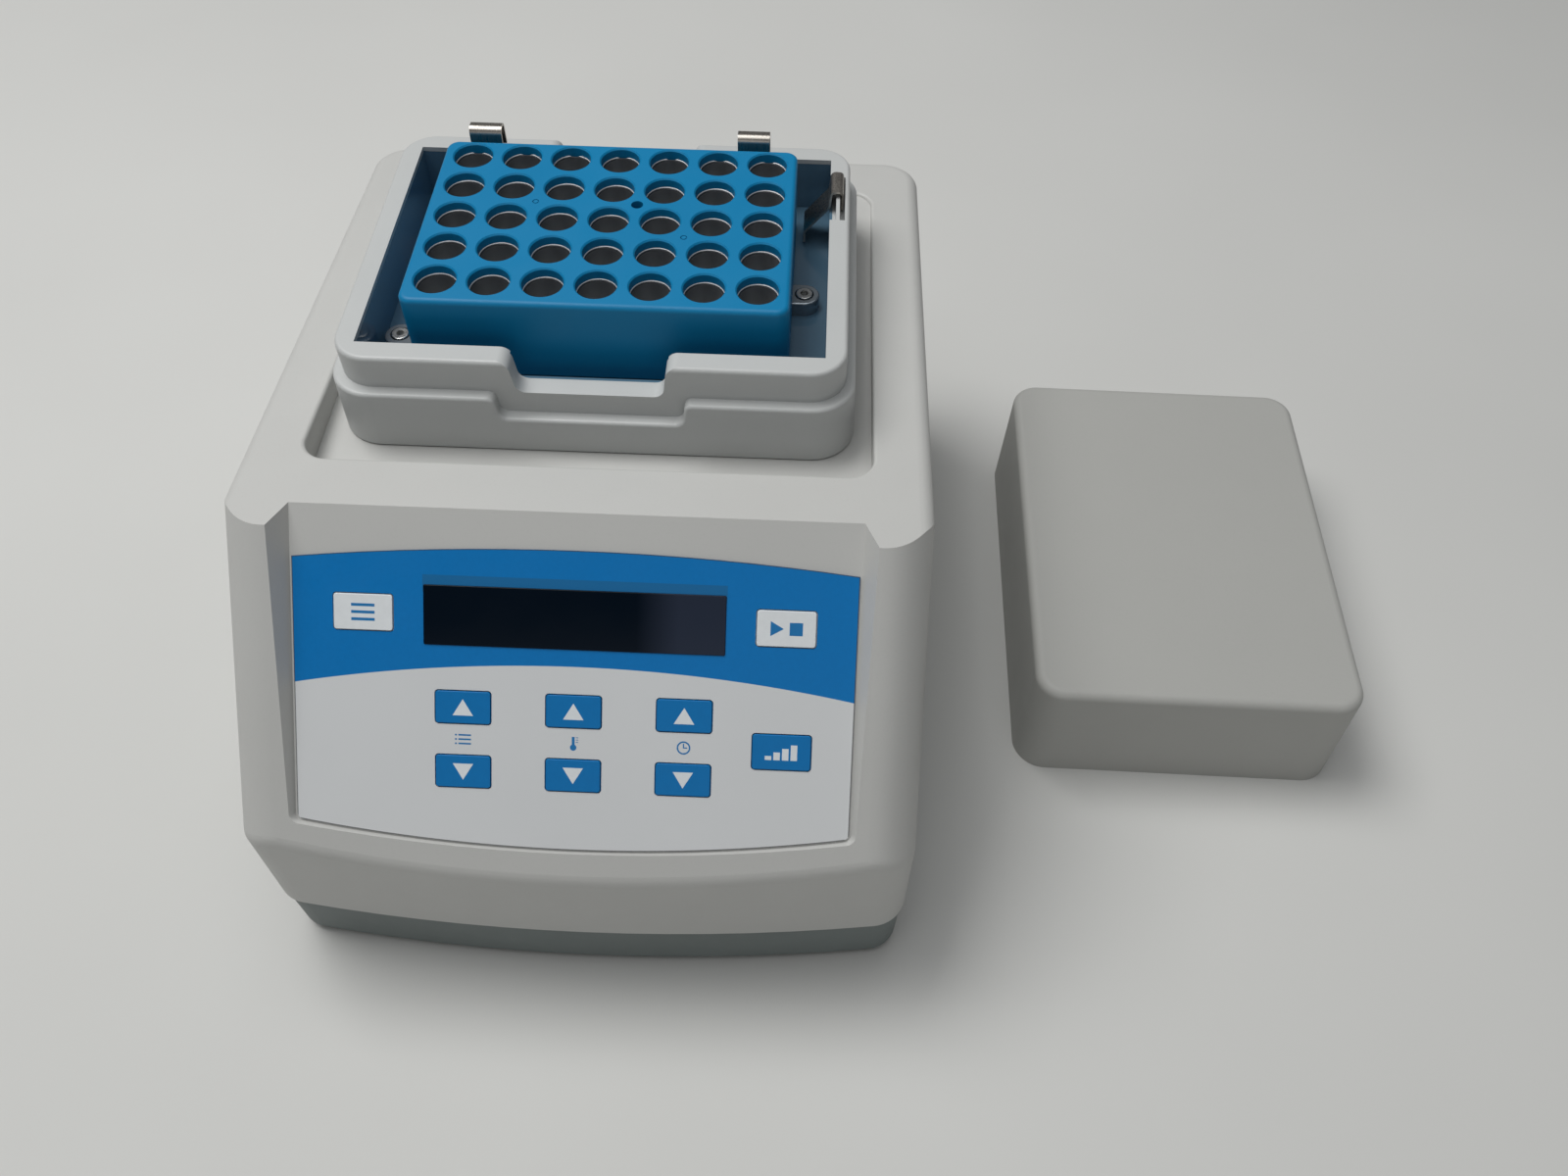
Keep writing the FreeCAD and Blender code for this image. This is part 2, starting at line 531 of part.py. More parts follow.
put("case_screws", group(case_screws))

# ---------------------------------------------------------------- chamber collar
YC = CH_CY
step_up = rprism(-RIM_HX, YC - RIM_HY, RIM_HX, YC + RIM_HY, RIM_R, LEDGE_Z - 3, RIM_Z)
step_low = rtaper((-LEDGE_HX - 0.5, YC - LEDGE_HY - 0.5, LEDGE_HX + 0.5, YC + LEDGE_HY + 0.5),
                  (-LEDGE_HX, YC - LEDGE_HY, LEDGE_HX, YC + LEDGE_HY), LEDGE_R + 0.5, LEDGE_R, COLLAR_BOTTOM, LEDGE_Z)


def notch_prism(half_low, r_low, half_top, z_floor, z_top, y0, y1, r_top):
    """Prism along y: a wide notch with a rounded foot and flared shoulders."""
    pts = [(-half_low, z_floor), (half_low, z_floor), (half_top, z_top), (half_top + 12, z_top), (half_top + 12, z_top + 10), (-half_top - 12, z_top + 10), (-half_top - 12, z_top), (-half_top, z_top)]
    rad = [r_low, r_low, r_top, 0, 0, 0, 0, r_top]
    w = rounded_wire(pts, rad, lambda a, b: V(a, y0, b))
    return Part.Face(w).extrude(V(0, y1 - y0, 0))


step_up = one(step_up)
step_up = fillet(step_up, lambda e, m, b: b.ZMin > RIM_Z - 0.01, 1.3)
step_low = one(step_low)
n_up_f = notch_prism(21.8, 3.4, 23.2, LEDGE_Z - 0.2, RIM_Z, -70, -45, 3.6)
n_up_r = notch_prism(21.8, 3.4, 23.2, LEDGE_Z - 0.2, RIM_Z, 44, 70, 3.6)
n_lo_f = notch_prism(27.4, 3.0, 28.4, LEDGE_Z - 7.9, LEDGE_Z, -70, YC - RIM_HY, 2.4)
n_lo_r = notch_prism(27.4, 3.0, 28.4, LEDGE_Z - 7.9, LEDGE_Z, YC + RIM_HY, 70, 2.4)
step_low = step_low.cut(n_lo_f).cut(n_lo_r)
collar = step_up.fuse(step_low).removeSplitter()
collar = one(collar)
# soften the ledge's outer edge
try:
    soft = fillet(collar, lambda e, m, b: abs(b.ZMin - LEDGE_Z) < 0.01 and abs(b.ZMax - LEDGE_Z) < 0.01 and (abs(m.x) > RIM_HX + 0.5 or abs(m.y - YC) > RIM_HY + 0.5 or (abs(m.x) > 70 and abs(m.y - YC) > 50)) and (math.hypot(max(abs(m.x) - (LEDGE_HX - LEDGE_R), 0), max(abs(m.y - YC) - (LEDGE_HY - LEDGE_R), 0)) > LEDGE_R - 0.6), 1.1)
    if soft.isValid() and len(soft.Solids) == 1:
        collar = one(soft)
        print("ledge edge rounded")
except Exception as err:
    print("ledge edge sharp:", err)
collar = collar.cut(n_up_f).cut(n_up_r)
# hollow of the moulding: chamber, liner space and insulation space
collar = collar.cut(box(-CH_HX, CH_Y0, 100, CH_HX, CH_Y1, 200))
hollow = rprism(-RIM_HX + 2.2, YC - RIM_HY + 2.0, RIM_HX - 2.2, YC + RIM_HY - 2.0, RIM_R - 2.2, 100, LEDGE_Z - 2.2 - 8.0)
collar = collar.cut(hollow)
collar = collar.cut(box(-CH_HX - LINER_T - 0.05, CH_Y0 - LINER_T - 0.05, 100, CH_HX + LINER_T + 0.05, CH_Y1 + LINER_T + 0.05, RIM_Z - 1.6))
bosses = [cyl(sx, sy, MOAT_Z, 142.4, 3.3) for (sx, sy) in COLLAR_SCREWS]
collar = collar.fuse(bosses).removeSplitter()
for (sx, sy) in COLLAR_SCREWS:
    collar = collar.cut(cyl(sx, sy, 120, 139.0, 1.6))
# pocket of the side clip in the right-hand rim, with a thin rib along it
SC_Y0, SC_Y1 = 15.9, 38.9
collar = collar.cut(box(CH_HX - 1, SC_Y0, RIM_Z - 5.5, 71.5, SC_Y1, RIM_Z + 1))
collar = collar.cut(box(72.7, SC_Y0, RIM_Z - 5.5, 74.4, SC_Y1, RIM_Z + 1))
put("chamber_collar", one(collar))

cs = []
for (sx, sy) in COLLAR_SCREWS:
    z = MOAT_Z - 5.4
    s = cyl(sx, sy, z - 2.0, z, 2.8).fuse(cyl(sx, sy, z, 137.5, 1.5)).cut(cross_cut(sx, sy, z - 2.1, z - 1.0, 1.6))
    cs.append(one(s.removeSplitter()))
put("collar_screws", group(cs))

# ---------------------------------------------------------------- liner, a folded metal tray
L = LINER_T
tray_o = box(-CH_HX - L, CH_Y0 - L, FLOOR_Z - L, CH_HX + L, CH_Y1 + L, RIM_Z - 1.7)
tray_i = box(-CH_HX, CH_Y0, FLOOR_Z, CH_HX, CH_Y1, RIM_Z + 5)
liner = tray_o.cut(tray_i)
PED_HX, PED_HY = 51.5, 34.5
liner = liner.cut(rprism(-PED_HX - 0.15, YC - PED_HY - 0.15, PED_HX + 0.15, YC + PED_HY + 0.15, 2.15, 130, FLOOR_Z + 0.5))
for (lx, ly) in LUGS:
    liner = liner.cut(cyl(lx, ly, 130, FLOOR_Z + 1, 2.2))
liner = liner.cut(box(-24.5, CH_Y0 - 3, LEDGE_Z - 0.2, 24.5, CH_Y0 + 3, RIM_Z + 3)).cut(box(-24.5, CH_Y1 - 3, LEDGE_Z - 0.2, 24.5, CH_Y1 + 3, RIM_Z + 3))
liner = liner.cut(box(CH_HX - 3, SC_Y0, RIM_Z - 5.5, CH_HX + 3, SC_Y1, RIM_Z + 3))
REAR_CLIPS = {"rear_left_clip": -45.6, "rear_right_clip": 43.5}
CLIP_W = 10.6
for cx in REAR_CLIPS.values():
    for dx in (-3, 3):
        liner = liner.cut(cyl(cx + dx, 45.4, 130, 150, 1.05))
put("chamber_liner", one(liner))

# insulation round the liner and under it
foam = rprism(-RIM_HX + 2.6, YC - RIM_HY + 2.4, RIM_HX - 2.6, YC + RIM_HY - 2.4, RIM_R - 2.6, MOAT_Z, 141.3)
foam = foam.cut(box(-67.4, YC - 43.9, 130.2, 67.4, YC + 43.9, 150))
foam = foam.cut(box(-63.5, YC - 44.4, 110, 63.5, YC + 44.4, 130.5))
for (sx, sy) in COLLAR_SCREWS:
    foam = foam.cut(cyl(sx, sy, 110, 150, 3.6))
put("chamber_insulation", one(foam))

# ---------------------------------------------------------------- thermal stack
PL_Z0, PL_Z1 = 130.4, FLOOR_Z - L
plate = rprism(-67.0, YC - 43.5, 67.0, YC + 43.5, 3.0, PL_Z0, PL_Z1).fuse(rprism(-PED_HX, YC - PED_HY, PED_HX, YC + PED_HY, 2.0, PL_Z0 + 1, FLOOR_Z)).removeSplitter()
for (lx, ly) in LUGS:
    plate = plate.cut(cyl(lx, ly, 133, FLOOR_Z + 1, 1.6))
STACK = [(-56, YC), (56, YC), (0, YC - 30), (0, YC + 30)]
for (px, py) in STACK:
    plate = plate.cut(cyl(px, py, 125, 139.5, 1.7))
# drilled from the front for the sensor
plate = plate.cut(cyl_y(20.0, 136.5, YC - 47, YC - 10, 2.1))
put("thermal_plate", one(plate))
PE_Z0, PE_Z1 = 126.6, PL_Z0
put("peltier_modules", group([box(-27 - 20, YC - 20, PE_Z0, -27 + 20, YC + 20, PE_Z1), box(27 - 20, YC - 20, PE_Z0, 27 + 20, YC + 20, PE_Z1)]))
gask = box(-60, YC - 42, PE_Z0, 60, YC + 42, PE_Z1)
gask = cut_each(gask, [box(-27 - 20.2, YC - 20.2, 120, -27 + 20.2, YC + 20.2, 140), box(27 - 20.2, YC - 20.2, 120, 27 + 20.2, YC + 20.2, 140)])
for (px, py) in STACK:
    gask = gask.cut(cyl(px, py, 120, 140, 2.4))
put("peltier_gasket", one(gask))
HS_Z0, HS_Z1 = 79.0, PE_Z0
hs = box(-63.2, YC - 44, HS_Z1 - 8, 63.2, YC + 44, HS_Z1)
fins = [box(-60 + i * 6.0, YC - 44, HS_Z0, -60 + i * 6.0 + 1.6, YC + 44, HS_Z1 - 7.9) for i in range(20)] + [box(58.4, YC - 44, HS_Z0, 60, YC + 44, HS_Z1 - 7.9)]
hs = fuse([hs] + fins)
stack_screws = []
for (px, py) in STACK:
    hs = hs.cut(cyl(px, py, 60, HS_Z1 - 7.5 + 1.5, 4.2)).cut(cyl(px, py, 60, 140, 1.8))
    s = cyl(px, py, HS_Z1 - 9.5, HS_Z1 - 6.0, 2.9).fuse(cyl(px, py, HS_Z1 - 6.0, 138.8, 1.5)).cut(hex_prism(px, py, HS_Z1 - 9.6, HS_Z1 - 7.6, 1.5))
    stack_screws.append(one(s.removeSplitter()))
hs = one(hs)
put("heat_sink", hs)
put("stack_screws", group(stack_screws))

# fan under the sink
FAN_Z0, FAN_Z1 = 54.0, 79.0
FAN_Y = YC
frame = rprism(-46, FAN_Y - 46, 46, FAN_Y + 46, 4.0, FAN_Z0, FAN_Z1).cut(cyl(0, FAN_Y, FAN_Z0 - 1, FAN_Z1 + 1, 43.6))
frame = cut_each(frame, [cyl(sx * 41.25, FAN_Y + sy * 41.25, FAN_Z0 - 1, FAN_Z1 + 1, 2.15) for sx in (-1, 1) for sy in (-1, 1)])
hub_seat = cyl(0, FAN_Y, FAN_Z0, FAN_Z0 + 2.0, 18.5)
struts = []
for k in range(4):
    s = box(15, -1.8, FAN_Z0, 44.2, 1.8, FAN_Z0 + 2.0)
    s.rotate(V(0, 0, 0), V(0, 0, 1), 45 + 90 * k)
    s.translate(V(0, FAN_Y, 0))
    struts.append(s)
axle = cyl(0, FAN_Y, FAN_Z0 + 1.0, FAN_Z0 + 15.0, 1.5)
frame = fuse([one(frame), hub_seat] + struts + [axle])
put("fan_frame", one(frame))
hub = cyl(0, FAN_Y, FAN_Z0 + 3.5, FAN_Z1 - 1.0, 17.5).cut(cyl(0, FAN_Y, FAN_Z0, FAN_Z0 + 16.5, 1.55)).cut(
    cyl(0, FAN_Y, FAN_Z0 + 3.0, FAN_Z0 + 12.0, 15.5).cut(cyl(0, FAN_Y, FAN_Z0 + 2, FAN_Z0 + 13, 4.0)))
blades = []
for k in range(7):
    w1 = Part.makePolygon([V(15, -9.0, FAN_Z0 + 5.0), V(15, 6.0, FAN_Z1 - 3.2), V(15, 6.8, FAN_Z1 - 4.4), V(15, -8.0, FAN_Z0 + 4.0), V(15, -9.0, FAN_Z0 + 5.0)])
    w2 = Part.makePolygon([V(41.8, -15.0, FAN_Z0 + 6.5), V(41.8, 9.0, FAN_Z1 - 5.2), V(41.8, 9.8, FAN_Z1 - 6.2), V(41.8, -14.2, FAN_Z0 + 5.5), V(41.8, -15.0, FAN_Z0 + 6.5)])
    bl = Part.makeLoft([w1, w2], True, True)
    bl.rotate(V(0, 0, 0), V(0, 0, 1), k * 360.0 / 7)
    bl.translate(V(0, FAN_Y, 0))
    blades.append(one(bl.common(cyl(0, FAN_Y, FAN_Z0 + 2.6, FAN_Z1, 42.6))))
put("fan_rotor", one(fuse([one(hub)] + blades)))
# four fan screws run down through the frame from the sink's corner blocks
put("fan_screws", group([one(cyl(sx * 41.25, FAN_Y + sy * 41.25, FAN_Z0 - 2.2, FAN_Z0, 3.4).fuse(cyl(sx * 41.25, FAN_Y + sy * 41.25, FAN_Z0, FAN_Z1 + 9.0, 1.9)).cut(cross_cut(sx * 41.25, FAN_Y + sy * 41.25, FAN_Z0 - 2.3, FAN_Z0 - 1.2, 2.0)).removeSplitter()) for sx in (-1, 1) for sy in (-1, 1)]))
nodes["heat_sink"] = one(cut_each(nodes["heat_sink"], [cyl(sx * 41.25, FAN_Y + sy * 41.25, HS_Z0 - 1, HS_Z0 + 10, 2.05) for sx in (-1, 1) for sy in (-1, 1)]))
# hanger frame: clamped under the moat floor by the collar screws, carries the sink on two ledges
HANG_Z1 = MOAT_Z - 2.4
hang = rprism(-77.4, YC - 57.9, 77.4, YC + 57.9, 6.0, HANG_Z1 - 3.0, HANG_Z1).fuse(rprism(-66.0, YC - 47.2, 66.0, YC + 47.2, 3.0, HS_Z1 - 13.0, HANG_Z1 - 2.5)).removeSplitter()
hang = hang.cut(box(-63.6, YC - 44.6, HS_Z1 - 8, 63.6, YC + 44.6, 130)).cut(box(-60.6, YC - 44.6, 100, 60.6, YC + 44.6, 130))
for (sx, sy) in COLLAR_SCREWS:
    hang = hang.cut(cyl(sx, sy, 100, 130, 1.8))
put("sink_hanger", one(hang))

# sensor and cut-out
put("temperature_sensor", one(cyl_y(20.0, 136.5, YC - 43.5, YC - 11, 2.0)))
cutout = Part.makeCylinder(4.0, 2.0, V(-60.0, YC + 20.0, 100.0), V(-1, 0, 0)).fuse(box(-62.9, YC + 12.0, 98.5, -61.9, YC + 28.0, 101.5)).removeSplitter()
put("thermal_cutout", one(cutout))

# ---------------------------------------------------------------- rear clips
CLIP_T = 0.7


def ribbon_yz(points, radii, t, x0, x1):
    """A bent strip: the centre line is a polyline with rounded bends in the y-z plane."""
    left, right = [], []
    n = len(points)
    for i in range(n):
        if i == 0:
            d = (points[1][0] - points[0][0], points[1][1] - points[0][1])
        elif i == n - 1:
            d = (points[-1][0] - points[-2][0], points[-1][1] - points[-2][1])
        else:
            d = None
        if d is not None:
            l = math.hypot(*d)
            nx, nz = -d[1] / l, d[0] / l
            left.append((points[i][0] + nx * t / 2, points[i][1] + nz * t / 2))
            right.append((points[i][0] - nx * t / 2, points[i][1] - nz * t / 2))
        else:
            l1 = offset_line(points[i - 1], points[i], t / 2)
            l2 = offset_line(points[i], points[i + 1], t / 2)
            r1 = offset_line(points[i - 1], points[i], -t / 2)
            r2 = offset_line(points[i], points[i + 1], -t / 2)
            left.append(meet(l1, l2))
            right.append(meet(r1, r2))
    pts = left + right[::-1]
    rad = []
    for i in range(n):
        if i in (0, n - 1) or radii[i] == 0:
            rad.append(0)
            continue
        a = (points[i][0] - points[i - 1][0], points[i][1] - points[i - 1][1])
        b = (points[i + 1][0] - points[i][0], points[i + 1][1] - points[i][1])
        turn = a[0] * b[1] - a[1] * b[0]
        rad.append(radii[i] - math.copysign(t / 2, turn))
    rr = []
    for i in range(n):
        if i in (0, n - 1) or radii[i] == 0:
            rr.append(0)
        else:
            rr.append(2 * radii[i] - rad[i])
    w = rounded_wire(pts, rad + rr[::-1], lambda a, b: V(x0, a, b))
    return Part.Face(w).extrude(V(x1 - x0, 0, 0))


LEAF_Y = 42.6
for name, cx in REAR_CLIPS.items():
    # foot on the floor, leaf upright, folded back over the top into a short tail
    strip = ribbon_yz([(47.2, FLOOR_Z + 0.75), (LEAF_Y + 0.5, FLOOR_Z + 0.75), (LEAF_Y, 158.0), (LEAF_Y + 0.9, 173.6), (LEAF_Y + 5.6, 173.2), (LEAF_Y + 5.9, 165.4)],
                      [0, 1.1, 8.0, 1.9, 1.9, 0], CLIP_T, cx - CLIP_W / 2, cx + CLIP_W / 2)
    strip = one(strip)
    for dx in (-3, 3):
        strip = strip.cut(cyl(cx + dx, 45.4, FLOOR_Z - 1, FLOOR_Z + 1.3, 1.05))
    put(name, one(strip))
rivets = []
for cx in REAR_CLIPS.values():
    for dx in (-3, 3):
        rivets.append(one(cyl(cx + dx, 45.4, FLOOR_Z - 2.2, FLOOR_Z + 1.15, 1.0).fuse(cone(cx + dx, 45.4, FLOOR_Z + 1.15, FLOOR_Z + 1.8, 1.7, 1.1)).removeSplitter()))
put("clip_rivets", group(rivets))

# side clip: hooked into the rim pocket, its leaf leaning in towards the block


def ribbon_xz(points, radii, t, y0, y1):
    s = ribbon_yz([(a, b) for a, b in points], radii, t, 0, y1 - y0)
    # turn the y-z strip into an x-z strip
    m = FreeCAD.Matrix(0, 1, 0, 0, 1, 0, 0, y0, 0, 0, 1, 0, 0, 0, 0, 1)
    return s.transformGeometry(m)


side = ribbon_xz([(73.55, RIM_Z - 4.6), (73.55, RIM_Z + 1.9), (69.9, RIM_Z + 2.1), (69.3, RIM_Z - 4.0), (61.3, FLOOR_Z + 5.2), (61.3, FLOOR_Z + 1.2)],
                 [0, 1.2, 1.5, 3.0, 2.0, 0], 0.7, 27.4, 38.4)
put("side_clip", one(side))

# ---------------------------------------------------------------- tube block and its cover
wells = [(BLOCK_X + (i - 3) * PITCH_X, (j - 2) * PITCH_Y) for j in range(ROWS) for i in range(COLS)]
bx0, bx1 = BLOCK_X - BLOCK_HX, BLOCK_X + BLOCK_HX
block_top = COVER_TOP - COVER_PLATE
blk = rprism(bx0 + COVER_WALL + 0.15, BLOCK_Y0 + COVER_WALL + 0.15, bx1 - COVER_WALL - 0.15, BLOCK_Y1 - COVER_WALL - 0.15, 2.0, FLOOR_Z, block_top)
lug_shapes = []
for (lx, ly) in LUGS:
    edge = bx1 - 6 if lx > 0 else bx0 + 6
    ear = box(min(edge, lx), ly - 4.9, FLOOR_Z, max(edge, lx), ly + 4.9, FLOOR_Z + LUG_T).fuse(cyl(lx, ly, FLOOR_Z, FLOOR_Z + LUG_T, 4.9)).removeSplitter()
    lug_shapes.append(ear)
blk = fuse([blk] + lug_shapes)
for (lx, ly) in LUGS:
    blk = blk.cut(cyl(lx, ly, FLOOR_Z - 1, FLOOR_Z + 20, 1.7)).cut(cyl(lx, ly, FLOOR_Z + 2.4, FLOOR_Z + 20, 3.1))
try:
    soft = fillet(one(blk), lambda e, m, b: abs(b.ZMin - FLOOR_Z - LUG_T) < 0.01 and abs(b.ZMax - FLOOR_Z - LUG_T) < 0.01 and (m.x > bx1 or m.x < bx0) and min(math.hypot(m.x - lx, m.y - ly) for lx, ly in LUGS) > 3.3, 0.6)
    if soft.isValid() and len(soft.Solids) == 1:
        blk = soft
        print("lug edges rounded")
except Exception as err:
    print("lug edges sharp:", err)
tools = []
for (wx, wy) in wells:
    t = cyl(wx, wy, WELL_BOTTOM + 4.2, block_top + 1, WELL_R).fuse(cone(wx, wy, WELL_BOTTOM, WELL_BOTTOM + 4.2, 2.0, WELL_R)).fuse(cone(wx, wy, block_top - 0.55, block_top + 0.05, WELL_R, WELL_R + 0.6))
    tools.append(t.removeSplitter())
blk = one(blk).cut(Part.makeCompound(tools))
blk = blk.cut(cyl(BLOCK_X + 8.0, PITCH_Y / 2, block_top - 14, block_top + 1, 1.7))
put("tube_block", one(blk))

cov = rprism(bx0, BLOCK_Y0, bx1, BLOCK_Y1, 4.0, FLOOR_Z + 0.5, COVER_TOP)
cov = fillet(cov, lambda e, m, b: b.ZMin > COVER_TOP - 0.01, 1.6)
cov = cov.cut(rprism(bx0 + COVER_WALL, BLOCK_Y0 + COVER_WALL, bx1 - COVER_WALL, BLOCK_Y1 - COVER_WALL, 2.1, FLOOR_Z - 1, block_top))
for (lx, ly) in LUGS:
    edge = bx1 - 5 if lx > 0 else bx0 + 5
    cov = cov.cut(box(min(edge, lx), ly - 5.3, FLOOR_Z - 1, max(edge, lx), ly + 5.3, FLOOR_Z + LUG_T + 0.4))
tools = []
for (wx, wy) in wells:
    tools.append(cyl(wx, wy, block_top - 1, COVER_TOP + 1, COVER_HOLE_R).fuse(cone(wx, wy, COVER_TOP - 0.45, COVER_TOP + 0.05, COVER_HOLE_R, COVER_HOLE_R + 0.5)).removeSplitter())
cov = one(cov).cut(Part.makeCompound(tools))
cov = cov.cut(cyl(BLOCK_X + 8.0, PITCH_Y / 2, block_top - 1, COVER_TOP + 1, 1.9))
for (dx, dy) in ((-24.0, PITCH_Y / 2), (24.0, -PITCH_Y / 2)):
    cov = cov.cut(cyl(BLOCK_X + dx, dy, COVER_TOP - 0.5, COVER_TOP + 1, 1.05).cut(cyl(BLOCK_X + dx, dy, COVER_TOP - 0.6, COVER_TOP + 1.1, 0.75)))
put("block_cover", one(cov))
put("block_screws", group([socket_screw(lx, ly, FLOOR_Z + 2.4 + 3.0, 2.75, 3.0, 1.45, 9.2) for (lx, ly) in LUGS]))

# ---------------------------------------------------------------- power entry at the back
body = box(INLET_X - 13.6, RP - 26.0, INLET_Z - 21.6, INLET_X + 13.6, RP + 0.2, INLET_Z + 11.1)
flange = Part.Face(rounded_wire([(INLET_X - 25.0, INLET_Z - 24.5), (INLET_X + 25.0, INLET_Z - 24.5), (INLET_X + 25.0, INLET_Z + 14.0), (INLET_X - 25.0, INLET_Z + 14.0)], [6.0] * 4, lambda a, b: V(a, RP + 0.05, b))).extrude(V(0, 2.9, 0))
inlet = body.fuse(flange).removeSplitter()
sock = Part.Face(rounded_wire([(INLET_X - 12.1, INLET_Z - 8.2), (INLET_X + 12.1, INLET_Z - 8.2), (INLET_X + 12.1, INLET_Z + 3.4), (INLET_X + 7.4, INLET_Z + 8.2), (INLET_X - 7.4, INLET_Z + 8.2), (INLET_X - 12.1, INLET_Z + 3.4)], [1.0] * 6, lambda a, b: V(a, RP - 14.0, b))).extrude(V(0, 20, 0))
drawer_cave = box(INLET_X - 10.3, RP - 24.0, INLET_Z - 20.3, INLET_X + 10.3, RP + 5, INLET_Z - 10.7)
inlet = inlet.cut(sock).cut(drawer_cave)
for sx in (-20.0, 20.0):
    inlet = inlet.cut(cyl_y(INLET_X + sx, INLET_Z - 5.2, RP - 10, RP + 8, 1.75)).cut(Part.makeCone(1.75, 3.4, 1.7, V(INLET_X + sx, RP + 2.95 - 1.7 + 0.001, INLET_Z - 5.2), V(0, 1, 0)))
put("power_inlet", one(inlet))
pins = []
for (px, pz) in ((-7.0, -2.0), (7.0, -2.0), (0.0, 2.0)):
    p = box(INLET_X + px - 1.0, RP - 33.0, INLET_Z + pz - 2.0, INLET_X + px + 1.0, RP - 2.5, INLET_Z + pz + 2.0)
    pins.append(p)
nodes["power_inlet"] = one(cut_each(nodes["power_inlet"], [box(INLET_X + px - 1.02, RP - 34.0, INLET_Z + pz - 2.02, INLET_X + px + 1.02, RP - 13, INLET_Z + pz + 2.02) for (px, pz) in ((-7.0, -2.0), (7.0, -2.0), (0.0, 2.0))]))
put("inlet_pins", group(pins))
dr = box(INLET_X - 9.9, RP - 23.0, INLET_Z - 19.9, INLET_X + 9.9, RP + 2.6, INLET_Z - 11.1)
dr = dr.cut(box(INLET_X - 8.4, RP - 21.5, INLET_Z - 18.6, INLET_X + 8.4, RP - 0.5, INLET_Z - 10.0))
dr = dr.fuse(box(INLET_X - 6.0, RP + 2.5, INLET_Z - 17.0, INLET_X + 6.0, RP + 4.0, INLET_Z - 15.4)).removeSplitter()
put("fuse_drawer", one(dr))
put("fuses", group([one(cyl_y(INLET_X + fx, INLET_Z - 15.9, RP - 21.3, RP - 0.9, 2.6)) for fx in (-4.2, 4.2)]))
iscr = []
for sx in (-20.0, 20.0):
    s = Part.makeCone(1.5, 3.1, 1.6, V(INLET_X + sx, RP + 1.35, INLET_Z - 5.2), V(0, 1, 0)).fuse(cyl_y(INLET_X + sx, INLET_Z - 5.2, RP - 6.0, RP + 1.35, 1.5)).cut(
        box(INLET_X + sx - 1.9, RP + 2.3, INLET_Z - 5.2 - 0.4, INLET_X + sx + 1.9, RP + 3.2, INLET_Z - 5.2 + 0.4)).cut(box(INLET_X + sx - 0.4, RP + 2.3, INLET_Z - 5.2 - 1.9, INLET_X + sx + 0.4, RP + 3.2, INLET_Z - 5.2 + 1.9))
    iscr.append(one(s.removeSplitter()))
put("inlet_screws", group(iscr))

sw = box(SWITCH_X - 6.1, RP - 18.0, SWITCH_Z - 9.3, SWITCH_X + 6.1, RP + 0.5, SWITCH_Z + 9.3)
rim = Part.Face(rounded_wire([(SWITCH_X - 7.5, SWITCH_Z - 10.8), (SWITCH_X + 7.5, SWITCH_Z - 10.8), (SWITCH_X + 7.5, SWITCH_Z + 10.8), (SWITCH_X - 7.5, SWITCH_Z + 10.8)], [1.2] * 4, lambda a, b: V(a, RP + 0.05, b))).extrude(V(0, 2.2, 0))
sw = sw.fuse(rim).removeSplitter().cut(box(SWITCH_X - 5.0, RP - 10.0, SWITCH_Z - 8.2, SWITCH_X + 5.0, RP + 5, SWITCH_Z + 8.2))
put("power_switch_frame", one(sw))
# rocker, pressed at its lower end: it turns 20 degrees about a cross pin
PIVOT_Y = RP - 3.5
rk = Part.Face(rounded_wire([(PIVOT_Y - 3.0, -4.5), (PIVOT_Y + 4.6, -7.4), (PIVOT_Y + 6.4, -7.0), (PIVOT_Y + 4.9, 0.0), (PIVOT_Y + 6.4, 7.0), (PIVOT_Y + 4.6, 7.4), (PIVOT_Y - 3.0, 4.5)], [0.8, 0.5, 0.5, 0, 0.5, 0.5, 0.8], lambda a, b: V(SWITCH_X - 4.6, a, SWITCH_Z + b))).extrude(V(9.2, 0, 0))
rk.rotate(V(SWITCH_X, PIVOT_Y, SWITCH_Z), V(1, 0, 0), -9.0)
put("power_switch_rocker", one(rk))

# ---------------------------------------------------------------- boards in the base
sup = box(-76, -138, 11.0, -12, -72, 12.6)
parts_s = [box(-72, -124, 12.5, -42, -96, 38.0), cyl(-28, -118, 12.5, 36.0, 8.0), cyl(-28, -101, 12.5, 30.0, 6.0), box(-66, -92, 12.5, -48, -80, 28.0), box(-40, -91, 12.5, -24, -83, 24.0), box(-46, -134, 12.5, -26, -130, 30.0)]
sup = fuse([sup] + parts_s)
for (px, py) in SUPPLY_POSTS:
    sup = sup.cut(cyl(px, py, 10, 13, 1.7))
put("power_supply", one(sup))
mb = box(6, -144, 14.0, 76, -80, 15.6)
parts_m = [box(28, -126, 15.5, 42, -112, 18.0), box(50, -132, 15.5, 68, -121, 30.0), box(16, -104, 15.5, 28, -88, 27.0), box(32, -104, 15.5, 44, -88, 27.0), cyl(55, -106, 15.5, 31.0, 4.6), cyl(66, -106, 15.5, 31.0, 4.6), box(30, -142, 15.5, 54, -136, 22.0), box(50, -95, 15.5, 66, -87, 24.0)]
mb = fuse([mb] + parts_m)
for (px, py) in BOARD_POSTS:
    mb = mb.cut(cyl(px, py, 13, 17, 1.7))
put("control_board", one(mb))
bs = []
